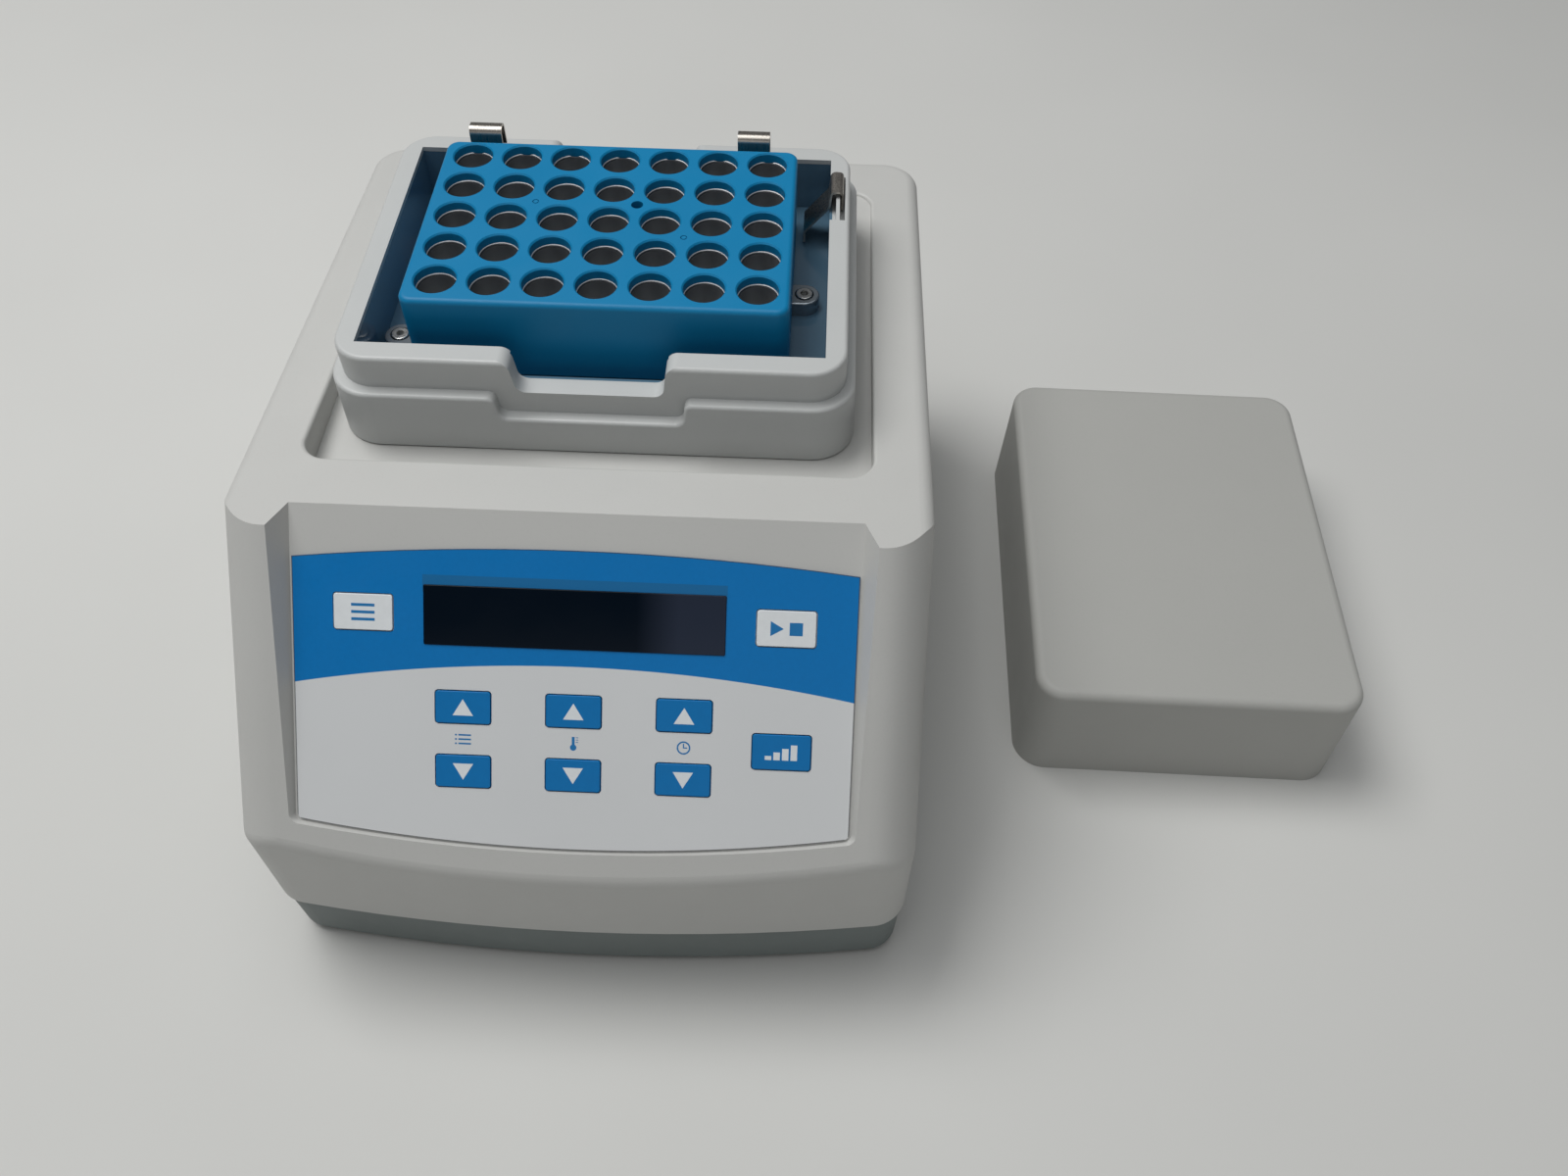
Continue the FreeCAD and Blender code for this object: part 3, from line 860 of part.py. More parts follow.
for (px, py, z) in [(a, b, 12.6) for a, b in SUPPLY_POSTS] + [(a, b, 15.6) for a, b in BOARD_POSTS]:
    bs.append(one(cyl(px, py, z, z + 1.9, 2.5).fuse(cyl(px, py, z - 6.0, z, 1.2)).cut(cross_cut(px, py, z + 1.0, z + 2.0, 1.5)).removeSplitter()))
put("board_screws", group(bs))


def lead(points, r):
    """Insulated lead: straight runs joined by tangent arcs."""
    pts = [V(*p) for p in points]
    edges, here = [], pts[0]
    for i in range(1, len(pts) - 1):
        a, b = (pts[i - 1] - pts[i]), (pts[i + 1] - pts[i])
        la, lb = a.Length, b.Length
        a.normalize(), b.normalize()
        ang = a.getAngle(b)
        t = 0.42 * min(la, lb)
        rad = t * math.tan(ang / 2)
        s, e = pts[i] + a * t, pts[i] + b * t
        bis = (a + b)
        bis.normalize()
        m = pts[i] + bis * (rad / math.sin(ang / 2) - rad)
        edges.append(Part.LineSegment(here, s).toShape())
        edges.append(Part.Arc(s, m, e).toShape())
        here = e
    edges.append(Part.LineSegment(here, pts[-1]).toShape())
    path = Part.Wire(edges)
    d = pts[1] - pts[0]
    prof = Part.Wire([Part.Circle(pts[0], d, r).toShape()])
    return one(path.makePipeShell([prof], True, False))


put("mains_leads", group([
    lead([(INLET_X - 7.0, RP - 33.4, INLET_Z - 2.0), (INLET_X - 7.0, RP - 37.5, INLET_Z - 3.0), (INLET_X - 7.0, RP - 37.0, 40.0), (58.0, 26.0, 16.0), (50.0, 4.0, 9.0), (20.0, -52.0, 9.0), (-4.0, -70.0, 10.5), (-10.6, -80.0, 18.0), (-14.0, -84.0, 22.0), (-22.4, -87.0, 22.4)], 1.3),
    lead([(SWITCH_X, RP - 18.7, SWITCH_Z - 4.0), (SWITCH_X, RP - 22.0, SWITCH_Z - 6.0), (SWITCH_X - 1.0, RP - 22.5, 36.0), (14.0, 44.0, 14.0), (0.0, 20.0, 9.0), (-14.0, -40.0, 9.0), (-22.0, -62.0, 11.0), (-28.0, -72.0, 20.0), (-30.0, -79.0, 22.0), (-31.0, -82.2, 21.0)], 1.3)]))
# flat cable from the panel board down to the control board
strip = ribbon_yz([(-141.0, 71.5), (-146.0, 60.0), (-147.0, 44.0), (-139.0, 30.0), (-139.0, 22.1)], [0, 9.0, 14.0, 9.0, 0], 0.9, 32.0, 52.0)
put("panel_ribbon", one(strip))

# ---------------------------------------------------------------- lid
lo = (-LID_HX, -LID_HY, LID_HX, LID_HY)
hi = (-LID_HX + LID_DRAFT, -LID_HY + LID_DRAFT, LID_HX - LID_DRAFT, LID_HY - LID_DRAFT)
lid = one(rtaper(lo, hi, 11.5, 10.0, 0.0, LID_H))
lid = fillet(lid, lambda e, m, b: b.ZMin > LID_H - 0.01, 3.2)
lo2 = (-LID_HX + LID_WALL, -LID_HY + LID_WALL, LID_HX - LID_WALL, LID_HY - LID_WALL)
hi2 = (-LID_HX + LID_DRAFT + LID_WALL, -LID_HY + LID_DRAFT + LID_WALL, LID_HX - LID_DRAFT - LID_WALL, LID_HY - LID_DRAFT - LID_WALL)
lid = lid.cut(one(rtaper(lo2, hi2, 10.6, 8.6, -0.001, LID_H - 2.8)))
pad = rprism(-LID_HX + 6.2, -LID_HY + 6.2, LID_HX - 6.2, LID_HY - 6.2, 6.0, LID_H - 2.8 - 6.0, LID_H - 2.8)
for s, nm in ((lid, "lid_shell"), (pad, "lid_insulation")):
    s = one(s)
    s.rotate(V(0, 0, 0), V(0, 0, 1), LID_YAW)
    s.translate(V(LID_X, LID_Y, 0))
    put(nm, s)

# ---------------------------------------------------------------- write
os.makedirs("parts", exist_ok=True)
lo = [1e9] * 3
hi = [-1e9] * 3
for name in sorted(nodes):
    s = nodes[name].copy()
    s.translate(V(SHIFT_X, SHIFT_Y, 0))
    b = s.BoundBox
    ok = s.isValid()
    print("%-22s solids %2d  valid %s  vol %10.1f  x %7.2f %7.2f  y %7.2f %7.2f  z %7.2f %7.2f" % (name, len(s.Solids), ok, s.Volume, b.XMin, b.XMax, b.YMin, b.YMax, b.ZMin, b.ZMax))
    lo = [min(lo[0], b.XMin), min(lo[1], b.YMin), min(lo[2], b.ZMin)]
    hi = [max(hi[0], b.XMax), max(hi[1], b.YMax), max(hi[2], b.ZMax)]
    s.exportStep("parts/" + name + ".step")
print("box", lo, hi, "centre", (lo[0] + hi[0]) / 2, (lo[1] + hi[1]) / 2, "nodes", len(nodes))
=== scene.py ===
import json
import math

import bmesh
import bpy
from mathutils import Matrix, Vector


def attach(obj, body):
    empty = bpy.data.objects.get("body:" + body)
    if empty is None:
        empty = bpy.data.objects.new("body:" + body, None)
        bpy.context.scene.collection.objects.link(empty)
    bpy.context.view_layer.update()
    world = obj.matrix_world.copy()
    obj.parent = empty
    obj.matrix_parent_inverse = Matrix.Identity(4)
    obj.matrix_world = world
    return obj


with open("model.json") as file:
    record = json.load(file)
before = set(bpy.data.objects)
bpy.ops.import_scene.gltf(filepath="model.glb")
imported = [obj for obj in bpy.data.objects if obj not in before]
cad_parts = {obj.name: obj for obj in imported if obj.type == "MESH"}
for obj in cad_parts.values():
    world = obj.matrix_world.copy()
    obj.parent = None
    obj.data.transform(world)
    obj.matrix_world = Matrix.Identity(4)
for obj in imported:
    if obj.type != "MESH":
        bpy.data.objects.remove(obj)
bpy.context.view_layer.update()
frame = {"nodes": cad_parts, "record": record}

nodes = frame["nodes"]

# The unit's own frame (x = 0 on its plane of symmetry, y = 0 on the middle row of wells)
# lies at this offset in the kept frame, in metres.
OFF = Vector((-0.081465, 0.035750, 0.0))
MM = 0.001

# ------------------------------------------------------------------ camera
YAW, PITCH, ROLL = -0.022920, 0.9186877407, -0.0198870570
CAM = Vector((65.04, -331.06, 420.33)) * MM + OFF
fwd = Vector((math.sin(YAW) * math.cos(PITCH), math.cos(YAW) * math.cos(PITCH), -math.sin(PITCH)))
right = Vector((math.cos(YAW), -math.sin(YAW), 0.0))
down = fwd.cross(right)
right2 = math.cos(ROLL) * right + math.sin(ROLL) * down
down2 = -math.sin(ROLL) * right + math.cos(ROLL) * down
cam_data = bpy.data.cameras.new("camera")
cam_data.lens = 1310.36 / 1600.0 * 36.0
cam_data.sensor_width = 36.0
cam_data.clip_start = 0.01
cam_data.clip_end = 50.0
cam = bpy.data.objects.new("camera", cam_data)
bpy.context.scene.collection.objects.link(cam)
m = Matrix.Identity(4)
for i in range(3):
    m[i][0], m[i][1], m[i][2], m[i][3] = right2[i], -down2[i], -fwd[i], CAM[i]
cam.matrix_world = m
bpy.context.scene.camera = cam

# ------------------------------------------------------------------ light and floor
scene = bpy.context.scene
scene.view_settings.view_transform = "Standard"
scene.view_settings.look = "None"
world = bpy.data.worlds.new("studio")
scene.world = world
world.use_nodes = True
world.node_tree.nodes["Background"].inputs[0].default_value = (0.86, 0.88, 0.90, 1)
world.node_tree.nodes["Background"].inputs[1].default_value = 0.155


def area(name, place, aim, sx, sy, power, colour=(1, 1, 1)):
    d = bpy.data.lights.new(name, "AREA")
    d.shape = "RECTANGLE"
    d.size, d.size_y = sx, sy
    d.energy = power
    d.color = colour
    o = bpy.data.objects.new(name, d)
    scene.collection.objects.link(o)
    o.location = place
    o.rotation_euler = (Vector(aim) - Vector(place)).to_track_quat("-Z", "Y").to_euler()
    return o


area("ceiling_panel", (-0.66, 0.27, 1.50), (-0.05, 0.0, 0.05), 0.80, 0.80, 14.2, (1.0, 0.995, 0.985))
area("wide_fill", (-0.22, 0.0, 2.0), (0.0, 0.0, 0.0), 1.9, 1.5, 13.5, (0.975, 0.988, 1.0))
area("front_fill", (0.15, -1.9, 0.75), (0.0, 0.0, 0.08), 1.8, 0.9, 2.6, (1.0, 0.995, 0.985))


# ------------------------------------------------------------------ node helpers
class Mat:
    """A node material with small helpers. Coordinates are the object's own, in metres."""

    def __init__(self, name):
        self.m = bpy.data.materials.new(name)
        self.m.use_nodes = True
        self.t = self.m.node_tree
        self.p = self.t.nodes["Principled BSDF"]
        self.c = self.t.nodes.new("ShaderNodeTexCoord")

    def set(self, **values):
        for k, v in values.items():
            self.p.inputs[k.replace("_", " ")].default_value = v
        return self

    def link(self, a, b):
        self.t.links.new(a, b)

    def obj(self):
        return self.c.outputs["Object"]

    def scaled(self, vector):
        n = self.t.nodes.new("ShaderNodeMapping")
        n.inputs["Scale"].default_value = vector
        self.link(self.obj(), n.inputs["Vector"])
        return n.outputs["Vector"]

    def noise(self, scale, detail=2.0, rough=0.5, coord=None, distortion=0.0):
        n = self.t.nodes.new("ShaderNodeTexNoise")
        n.inputs["Scale"].default_value = scale
        n.inputs["Detail"].default_value = detail
        n.inputs["Roughness"].default_value = rough
        n.inputs["Distortion"].default_value = distortion
        self.link(coord if coord is not None else self.obj(), n.inputs["Vector"])
        return n.outputs["Fac"]

    def voronoi(self, scale, coord=None, feature="F1", rand=1.0):
        n = self.t.nodes.new("ShaderNodeTexVoronoi")
        n.feature = feature
        n.inputs["Scale"].default_value = scale
        n.inputs["Randomness"].default_value = rand
        self.link(coord if coord is not None else self.obj(), n.inputs["Vector"])
        return n.outputs["Distance"]

    def math(self, op, a, b=None, c=None, clamp=False):
        n = self.t.nodes.new("ShaderNodeMath")
        n.operation = op
        n.use_clamp = clamp
        for i, v in enumerate((a, b, c)):
            if v is None:
                continue
            if isinstance(v, (int, float)):
                n.inputs[i].default_value = v
            else:
                self.link(v, n.inputs[i])
        return n.outputs[0]

    def ramp(self, fac, stops):
        n = self.t.nodes.new("ShaderNodeValToRGB")
        el = n.color_ramp.elements
        while len(el) > 1:
            el.remove(el[-1])
        el[0].position, el[0].color = stops[0][0], (*stops[0][1], 1)
        for pos, col in stops[1:]:
            e = el.new(pos)
            e.color = (*col, 1)
        self.link(fac, n.inputs["Fac"])
        return n.outputs["Color"]

    def remap(self, fac, a, b, c, d):
        n = self.t.nodes.new("ShaderNodeMapRange")
        for i, v in enumerate((a, b, c, d)):
            n.inputs[i + 1].default_value = v
        self.link(fac, n.inputs[0])
        return n.outputs[0]

    def mix(self, fac, a, b):
        n = self.t.nodes.new("ShaderNodeMix")
        n.data_type = "RGBA"
        ins = {"Factor": n.inputs[0], "A": n.inputs[6], "B": n.inputs[7]}
        for k, v in (("Factor", fac), ("A", a), ("B", b)):
            if isinstance(v, (int, float)):
                ins[k].default_value = v
            elif isinstance(v, tuple):
                ins[k].default_value = (*v, 1)
            else:
                self.link(v, ins[k])
        return n.outputs[2]

    def dot(self, vector):
        n = self.t.nodes.new("ShaderNodeVectorMath")
        n.operation = "DOT_PRODUCT"
        self.link(self.obj(), n.inputs[0])
        n.inputs[1].default_value = vector
        return n.outputs["Value"]

    def bump(self, height, strength, distance, normal=None):
        n = self.t.nodes.new("ShaderNodeBump")
        n.inputs["Strength"].default_value = strength
        n.inputs["Distance"].default_value = distance
        self.link(height, n.inputs["Height"])
        if normal is not None:
            self.link(normal, n.inputs["Normal"])
        return n.outputs["Normal"]


def srgb(r, g, b):
    f = lambda v: (v / 255) / 12.92 if v / 255 <= 0.04045 else ((v / 255 + 0.055) / 1.055) ** 2.4
    return (f(r), f(g), f(b))


def moulded(name, colour, rough, grain=2600, grain_depth=0.00003, strength=0.35, tint=0.014, gloss=0.5, coat=0.0, wander=0.05):
    """Moulded plastic: fine spark-erosion grain, faint colour drift and slightly uneven gloss."""
    a = Mat(name)
    drift = a.noise(26, 3.0, 0.55)
    speck = a.noise(1400, 1.0, 0.5)
    lo = tuple(c * (1 - tint) for c in colour)
    hi = tuple(min(1.0, c * (1 + tint)) for c in colour)
    base = a.ramp(drift, [(0.3, lo), (0.7, hi)])
    dark = tuple(c * 0.94 for c in colour)
    base2 = a.mix(a.remap(speck, 0.56, 0.75, 0.0, 0.35), base, dark)
    a.link(base2, a.p.inputs["Base Color"])
    a.link(a.remap(a.noise(60, 4.0, 0.6), 0.3, 0.7, rough - wander, rough + wander), a.p.inputs["Roughness"])
    a.set(Specular_IOR_Level=gloss, Coat_Weight=coat)
    g1 = a.noise(grain, 2.0, 0.55)
    n1 = a.bump(g1, strength, grain_depth)
    a.link(n1, a.p.inputs["Normal"])
    return a.m


def metal(name, colour, rough, grain=(900, 900, 40), depth=0.00001, strength=0.25, spread=0.08, tint=0.06, aniso=0.0):
    """Metal with fine directional working marks and stains."""
    a = Mat(name)
    streak = a.noise(1.0, 4.0, 0.6, a.scaled(grain))
    cloud = a.noise(45, 3.0, 0.6)
    lo = tuple(c * (1 - tint) for c in colour)
    a.link(a.ramp(cloud, [(0.3, lo), (0.7, colour)]), a.p.inputs["Base Color"])
    a.link(a.remap(streak, 0.25, 0.75, rough - spread, rough + spread), a.p.inputs["Roughness"])
    a.set(Metallic=1.0, Anisotropic=aniso)
    a.link(a.bump(streak, strength, depth), a.p.inputs["Normal"])
    return a.m


def rubber(name, colour, rough=0.75):
    a = Mat(name)
    a.link(a.ramp(a.noise(300, 3, 0.6), [(0.3, tuple(c * 0.8 for c in colour)), (0.7, colour)]), a.p.inputs["Base Color"])
    a.set(Roughness=rough, Specular_IOR_Level=0.3)
    a.link(a.bump(a.noise(1800, 2, 0.5), 0.4, 0.00004), a.p.inputs["Normal"])
    return a.m


def foam(name, colour, cell=900):
    a = Mat(name)
    v = a.voronoi(cell)
    a.link(a.ramp(v, [(0.0, tuple(c * 0.7 for c in colour)), (0.5, colour)]), a.p.inputs["Base Color"])
    a.set(Roughness=0.95, Specular_IOR_Level=0.2)
    a.link(a.bump(v, 0.6, 0.0004), a.p.inputs["Normal"])
    return a.m


def board(name):
    """Circuit board: green lacquer over copper tracks, pale solder dots."""
    a = Mat(name)
    br = a.t.nodes.new("ShaderNodeTexBrick")
    a.link(a.obj(), br.inputs["Vector"])
    br.inputs["Scale"].default_value = 130
    br.inputs["Mortar Size"].default_value = 0.06
    br.inputs["Color1"].default_value = (*srgb(16, 86, 52), 1)
    br.inputs["Color2"].default_value = (*srgb(20, 98, 60), 1)
    br.inputs["Mortar"].default_value = (*srgb(36, 120, 74), 1)
    dots = a.voronoi(260, rand=0.35)
    a.link(a.mix(a.remap(dots, 0.16, 0.2, 1.0, 0.0), br.outputs["Color"], srgb(188, 190, 186)), a.p.inputs["Base Color"])
    a.set(Roughness=0.35, Specular_IOR_Level=0.5)
    a.link(a.bump(dots, 0.3, 0.0002), a.p.inputs["Normal"])
    return a.m


# ------------------------------------------------------------------ the printed overlay
SLOPE = math.radians(46.4)
PANEL_O = Vector((0.0, -105.8, 131.6)) * MM + OFF
PX = Vector((1, 0, 0))
PY = Vector((0, math.cos(SLOPE), math.sin(SLOPE)))
PZ = Vector((0, -math.sin(SLOPE), math.cos(SLOPE)))

BLUE = srgb(0, 116, 186)
BLUE_KEY = srgb(2, 114, 180)
OFFWHITE = srgb(214, 216, 217)


def overlay_material():
    a = Mat("overlay_print")
    x = a.math("MULTIPLY", a.math("SUBTRACT", a.dot(PX), PX.dot(PANEL_O)), 1000.0)
    y = a.math("MULTIPLY", a.math("SUBTRACT", a.dot(PY), PY.dot(PANEL_O)), 1000.0)
    # the printed blue field ends below on a shallow arc
    r = (81.6 ** 2 + 7.6 ** 2) / (2 * 7.6)
    cy = -29.4 - r
    d = a.math("SQRT", a.math("ADD", a.math("MULTIPLY", x, x), a.math("POWER", a.math("SUBTRACT", y, cy), 2.0)))
    blue = a.remap(d, r - 0.06, r + 0.06, 0.0, 1.0)
    # a slightly different blue strip over the display, where the clear window of the film is backed
    strip = a.math("MULTIPLY", a.math("LESS_THAN", a.math("ABSOLUTE", x), 43.9), a.math("GREATER_THAN", y, -9.0))
    strip = a.math("MULTIPLY", strip, a.math("LESS_THAN", y, -3.9))
    ink = a.noise(700, 2, 0.5)
    blue_col = a.ramp(ink, [(0.3, tuple(c * 0.96 for c in BLUE)), (0.7, BLUE)])
    blue_col = a.mix(strip, blue_col, srgb(22, 104, 158))
    white_col = a.ramp(a.noise(22, 3, 0.6), [(0.3, tuple(c * 0.975 for c in OFFWHITE)), (0.7, OFFWHITE)])
    # painted shade of the gap round the film: the print is darkened in a thin band all round, straight at the sides,
    # arched above and below
    side = a.math("GREATER_THAN", a.math("ABSOLUTE", x), 81.36)
    rt = (81.6 ** 2 + 4.5 ** 2) / 9.0
    dt = a.math("SQRT", a.math("ADD", a.math("MULTIPLY", x, x), a.math("POWER", a.math("SUBTRACT", y, 4.5 - rt), 2.0)))
    above = a.math("MULTIPLY", a.math("GREATER_THAN", dt, rt - 0.22), a.math("GREATER_THAN", y, -10.0))
    rb = (81.6 ** 2 + 6.6 ** 2) / 13.2
    db = a.math("SQRT", a.math("ADD", a.math("MULTIPLY", x, x), a.math("POWER", a.math("SUBTRACT", y, rb - 84.9), 2.0)))
    below = a.math("MULTIPLY", a.math("GREATER_THAN", db, rb - 0.24), a.math("LESS_THAN", y, -60.0))
    painted_gap_shade = a.math("MAXIMUM", side, a.math("MAXIMUM", above, below))
    col = a.mix(blue, white_col, blue_col)
    # the print is mixed towards dark grey in that band, as painted gap shade
    a.link(a.mix(a.math("MULTIPLY", painted_gap_shade, 0.8), col, srgb(58, 60, 62)), a.p.inputs["Base Color"])
    a.link(a.remap(a.noise(90, 4, 0.6), 0.3, 0.7, 0.34, 0.46), a.p.inputs["Roughness"])
    a.set(Specular_IOR_Level=0.28)
    fine = a.bump(a.noise(3600, 1, 0.5), 0.25, 0.00001)
    a.link(fine, a.p.inputs["Normal"])
    return a.m


def key_material(name, colour):
    a = Mat(name)
    a.link(a.ramp(a.noise(400, 2, 0.5), [(0.3, tuple(c * 0.96 for c in colour)), (0.7, colour)]), a.p.inputs["Base Color"])
    a.link(a.remap(a.noise(160, 3, 0.6), 0.3, 0.7, 0.34, 0.44), a.p.inputs["Roughness"])
    a.set(Specular_IOR_Level=0.28)
    a.link(a.bump(a.noise(3200, 1, 0.5), 0.25, 0.00001), a.p.inputs["Normal"])
    return a.m


def window_material():
    """Dark filter glass, coloured lighter over its right part, rising from x = 18 mm to 30 mm."""
    a = Mat("window_black")
    x = a.math("MULTIPLY", a.math("SUBTRACT", a.dot(PX), PX.dot(PANEL_O)), 1000.0)
    right_ramp = a.remap(x, 18.0, 30.0, 0.0, 1.0)
    a.link(a.mix(right_ramp, srgb(2, 13, 25), srgb(40, 47, 62)), a.p.inputs["Base Color"])
    a.link(a.remap(a.noise(70, 4, 0.6), 0.3, 0.7, 0.09, 0.16), a.p.inputs["Roughness"])
    a.set(Specular_IOR_Level=0.12)
    return a.m


def glass_material():
    a = Mat("glass_fuse")
    a.link(a.ramp(a.noise(200, 2, 0.5), [(0.3, (0.80, 0.84, 0.84)), (0.7, (0.9, 0.93, 0.93))]), a.p.inputs["Base Color"])
    a.set(Roughness=0.08, Transmission_Weight=0.85, IOR=1.47)
    return a.m


def well_metal():
    """Turned and anodised block: rings from the cutter down the bores. Painted light in the colour: lighter towards the
    bottom of each bore, a painted highlight ring at each mouth, a band of painted shade just below it.
    """
    a = Mat("block_metal")
    z = a.dot(Vector((0, 0, 1)))
    rings = a.noise(1.0, 3.0, 0.6, a.scaled((60, 60, 5200)))
    # painted light: the bore walls are coloured lighter towards the bottom of each bore and darker towards its mouth
    bore = a.remap(z, 0.1515, 0.1686, 0.0, 1.0)
    col = a.ramp(bore, [(0.0, srgb(190, 190, 190)), (0.5, srgb(184, 185, 186)), (0.9, srgb(150, 151, 153)), (1.0, srgb(146, 147, 149))])
    # painted highlight: a white ring on the upper half of the chamfer at each mouth
    painted_highlight_ring = a.math("MULTIPLY", a.math("GREATER_THAN", z, 0.16876), a.math("LESS_THAN", z, 0.16897))
    col = a.mix(painted_highlight_ring, col, srgb(255, 255, 255))
    # painted shade: a dark band on the lower half of the chamfer and the bore wall just below it
    painted_shade_band = a.math("MULTIPLY", a.math("GREATER_THAN", z, 0.16835), a.math("LESS_THAN", z, 0.16876))
    col = a.mix(painted_shade_band, col, srgb(74, 76, 80))
    face = a.math("GREATER_THAN", z, 0.16897)
    col = a.mix(face, col, srgb(86, 90, 94))
    skirt = a.math("LESS_THAN", z, 0.1512)
    col = a.mix(skirt, col, srgb(150, 158, 164))
    a.link(col, a.p.inputs["Base Color"])
    rough = a.remap(rings, 0.25, 0.75, 0.34, 0.48)
    a.link(a.math("SUBTRACT", rough, a.math("MULTIPLY", skirt, 0.18)), a.p.inputs["Roughness"])
    a.set(Metallic=0.7)
    a.link(a.bump(rings, 0.35, 0.00002), a.p.inputs["Normal"])
    return a.m


def brushed_sheet(name, colour, rough=0.3):
    """Spring sheet: long brush marks along the leaf, with bluish handling stains."""
    a = Mat(name)
    s = a.noise(1.0, 5.0, 0.65, a.scaled((2600, 1200, 70)))
    stain = a.noise(120, 3, 0.6)
    a.link(a.ramp(stain, [(0.3, tuple(c * 0.82 for c in colour)), (0.7, colour)]), a.p.inputs["Base Color"])
    a.link(a.remap(s, 0.25, 0.75, rough - 0.1, rough + 0.12), a.p.inputs["Roughness"])
    a.set(Metallic=1.0)
    a.link(a.bump(s, 0.3, 0.00001), a.p.inputs["Normal"])
    return a.m


MATS = {
    "housing_grey": moulded("housing_grey", srgb(190, 190, 187), 0.50),
    "base_grey": moulded("base_grey", srgb(112, 120, 119), 0.55, tint=0.04),
    "collar_grey": moulded("collar_grey", srgb(188, 190, 189), 0.42, grain=3200, strength=0.2),
    "lid_grey": moulded("lid_grey", srgb(172, 172, 168), 0.60, grain=2200, strength=0.45, tint=0.008),
    "cover_blue": moulded("cover_blue", srgb(0, 121, 170), 0.46, grain=3000, strength=0.25, tint=0.02, gloss=0.3),
    "block_metal": well_metal(),
    "liner_slate": moulded("liner_slate", srgb(84, 114, 134), 0.11, grain=1800, strength=0.08, tint=0.04, gloss=0.8, wander=0.03),
    "stainless": brushed_sheet("stainless", srgb(186, 180, 172)),
    "steel_screw": metal("steel_screw", srgb(196, 196, 194), 0.30),
    "overlay_print": overlay_material(),
    "key_white": key_material("key_white", srgb(226, 230, 232)),
    "key_blue": key_material("key_blue", BLUE_KEY),
    "window_black": window_material(),
    "rubber_black": rubber("rubber_black", srgb(38, 38, 38)),
    "plastic_black": moulded("plastic_black", srgb(34, 34, 35), 0.42, tint=0.06),
    "foam_dark": foam("foam_dark", srgb(58, 58, 60)),
    "foam_light": foam("foam_light", srgb(222, 220, 212), 500),
    "sink_metal": metal("sink_metal", srgb(190, 192, 194), 0.36, grain=(30, 900, 900)),
    "ceramic": moulded("ceramic", srgb(228, 226, 220), 0.55, tint=0.02),
    "board_green": board("board_green"),
    "copper_lead": rubber("copper_lead", srgb(120, 44, 34), 0.5),
    "brass_pin": metal("brass_pin", srgb(206, 176, 104), 0.25),
    "glass_fuse": glass_material(),
}
slots = {s["node"]: s["material_slot"] for s in frame["record"]["subparts"]}
for name, ob in nodes.items():
    ob.data.materials.clear()
    ob.data.materials.append(MATS[slots[name]])


# ------------------------------------------------------------------ printed pictograms
def on_panel(x, y, z):
    return PANEL_O + PX * (x * MM) + PY * (y * MM) + PZ * (z * MM)


def print_piece(name, outlines, body, z_low, z_high, material):
    """A thin printed layer: each outline is a closed list of panel points in millimetres."""
    bm = bmesh.new()
    for pts in outlines:
        low = [bm.verts.new(on_panel(x, y, z_low)) for x, y in pts]
        high = [bm.verts.new(on_panel(x, y, z_high)) for x, y in pts]
        n = len(pts)
        bm.faces.new(high)
        bm.faces.new(list(reversed(low)))
        for i in range(n):
            bm.faces.new([low[i], low[(i + 1) % n], high[(i + 1) % n], high[i]])
    bmesh.ops.recalc_face_normals(bm, faces=bm.faces)
    me = bpy.data.meshes.new(name)
    bm.to_mesh(me)
    bm.free()
    me.materials.append(material)
    ob = bpy.data.objects.new(name, me)
    scene.collection.objects.link(ob)
    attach(ob, body)
    return ob


def rect(x0, y0, x1, y1):
    return [(x0, y0), (x1, y0), (x1, y1), (x0, y1)]


def ring(cx, cy, r0, r1, a0=0.0, a1=360.0, n=40):
    out = []
    k = max(4, int(n * (a1 - a0) / 360))
    for i in range(k):
        t0, t1 = (math.radians(a0 + (a1 - a0) * v / k) for v in (i, i + 1))
        out.append([(cx + r0 * math.cos(t0), cy + r0 * math.sin(t0)), (cx + r1 * math.cos(t0), cy + r1 * math.sin(t0)),
                    (cx + r1 * math.cos(t1), cy + r1 * math.sin(t1)), (cx + r0 * math.cos(t1), cy + r0 * math.sin(t1))])
    return out


def disc(cx, cy, r, n=28):
    return [(cx + r * math.cos(2 * math.pi * i / n), cy + r * math.sin(2 * math.pi * i / n)) for i in range(n)]


ink_white = key_material("ink_white", srgb(224, 229, 232))
ink_blue = key_material("ink_blue", srgb(34, 118, 178))
KEY_TOP = 0.3
ARROWS = {"program_up_key": (-32.3, -42.7, 1), "program_down_key": (-32.3, -62.0, -1), "temp_up_key": (0.0, -42.7, 1),
          "temp_down_key": (0.0, -62.0, -1), "time_up_key": (32.3, -42.7, 1), "time_down_key": (32.3, -62.0, -1)}
for key, (kx, ky, up) in ARROWS.items():
    tri = [(kx - 3.0, ky - 2.4 * up), (kx + 3.0, ky - 2.4 * up), (kx, ky + 2.5 * up)]
    print_piece(key + "_mark", [tri], key + "_body", KEY_TOP - 0.01, KEY_TOP + 0.02, ink_white)
# option key: three lines
kx, ky = -61.1, -15.5
print_piece("option_key_mark", [rect(kx - 3.4, ky + d - 0.42, kx + 3.4, ky + d + 0.42) for d in (-2.1, 0.0, 2.1)], "option_key_body", KEY_TOP - 0.01, KEY_TOP + 0.02, ink_blue)
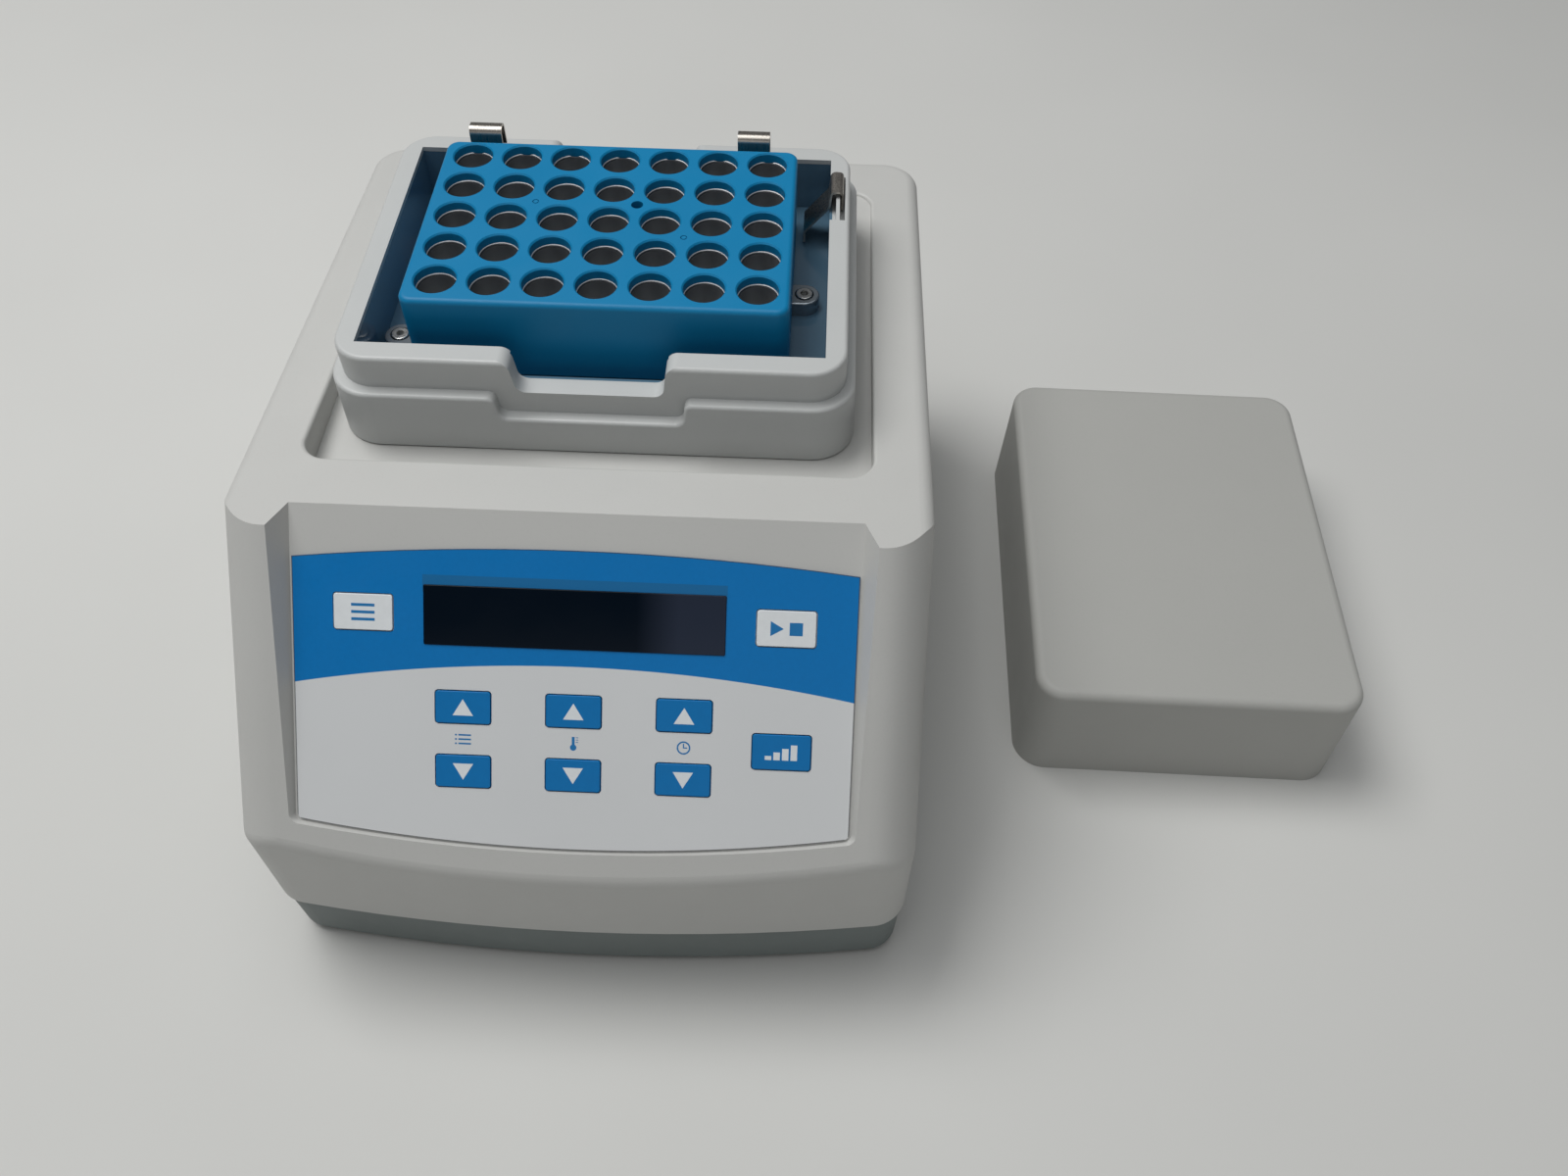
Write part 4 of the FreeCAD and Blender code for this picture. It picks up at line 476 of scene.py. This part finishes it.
# start and stop key: a triangle and a square
kx, ky = 61.1, -15.8
print_piece("start_stop_key_mark", [[(kx - 4.6, ky - 2.2), (kx - 0.8, ky), (kx - 4.6, ky + 2.2)], rect(kx + 0.9, ky - 1.9, kx + 4.7, ky + 1.9)], "start_stop_key_body", KEY_TOP - 0.01, KEY_TOP + 0.02, ink_blue)
# multi-step key: rising steps
kx, ky = 60.9, -52.5
print_piece("multi_step_key_mark", [rect(kx - 4.8 + 2.5 * i, ky - 2.3, kx - 2.9 + 2.5 * i, ky - 1.1 + 1.15 * i) for i in range(4)], "multi_step_key_body", KEY_TOP - 0.01, KEY_TOP + 0.02, ink_white)
# small signs between the arrow keys: a list, a thermometer and a clock
cy = -52.3
sign = []
for d in (-1.3, 0.0, 1.3):
    sign.append(rect(-32.3 - 1.4, cy + d - 0.24, -32.3 + 2.3, cy + d + 0.24))
    sign.append(rect(-32.3 - 2.4, cy + d - 0.24, -32.3 - 1.85, cy + d + 0.24))
print_piece("program_sign", sign, "case", -0.01, 0.015, ink_blue)
sign = [rect(-0.42, cy - 0.6, 0.42, cy + 2.0), disc(0, cy - 1.2, 0.95)] + [rect(0.75, cy + 0.3 + 0.7 * i, 1.45, cy + 0.5 + 0.7 * i) for i in range(3)]
print_piece("temperature_sign", sign[:1] + sign[2:], "case", -0.01, 0.015, ink_blue)
print_piece("temperature_sign_bulb", [sign[1]], "case", -0.01, 0.016, ink_blue)
sign = ring(32.3, cy, 1.55, 2.0) + [rect(32.1, cy - 0.15, 32.45, cy + 1.3), rect(32.45, cy - 0.15, 33.35, cy + 0.18)]
print_piece("time_sign", sign, "case", -0.01, 0.015, ink_blue)

# ------------------------------------------------------------------ floor
bm = bmesh.new()
s = 3.0
vs = [bm.verts.new(v) for v in ((-s, -s, 0), (s, -s, 0), (s, s, 0), (-s, s, 0))]
bm.faces.new(vs)
me = bpy.data.meshes.new("floor")
bm.to_mesh(me)
bm.free()
floor = bpy.data.objects.new("floor", me)
scene.collection.objects.link(floor)
fm = Mat("floor_paper")
fm.link(fm.ramp(fm.noise(3.0, 3, 0.5), [(0.3, srgb(205, 205, 202)), (0.7, srgb(211, 211, 208))]), fm.p.inputs["Base Color"])
fm.set(Roughness=0.9, Specular_IOR_Level=0.1)
me.materials.append(fm.m)
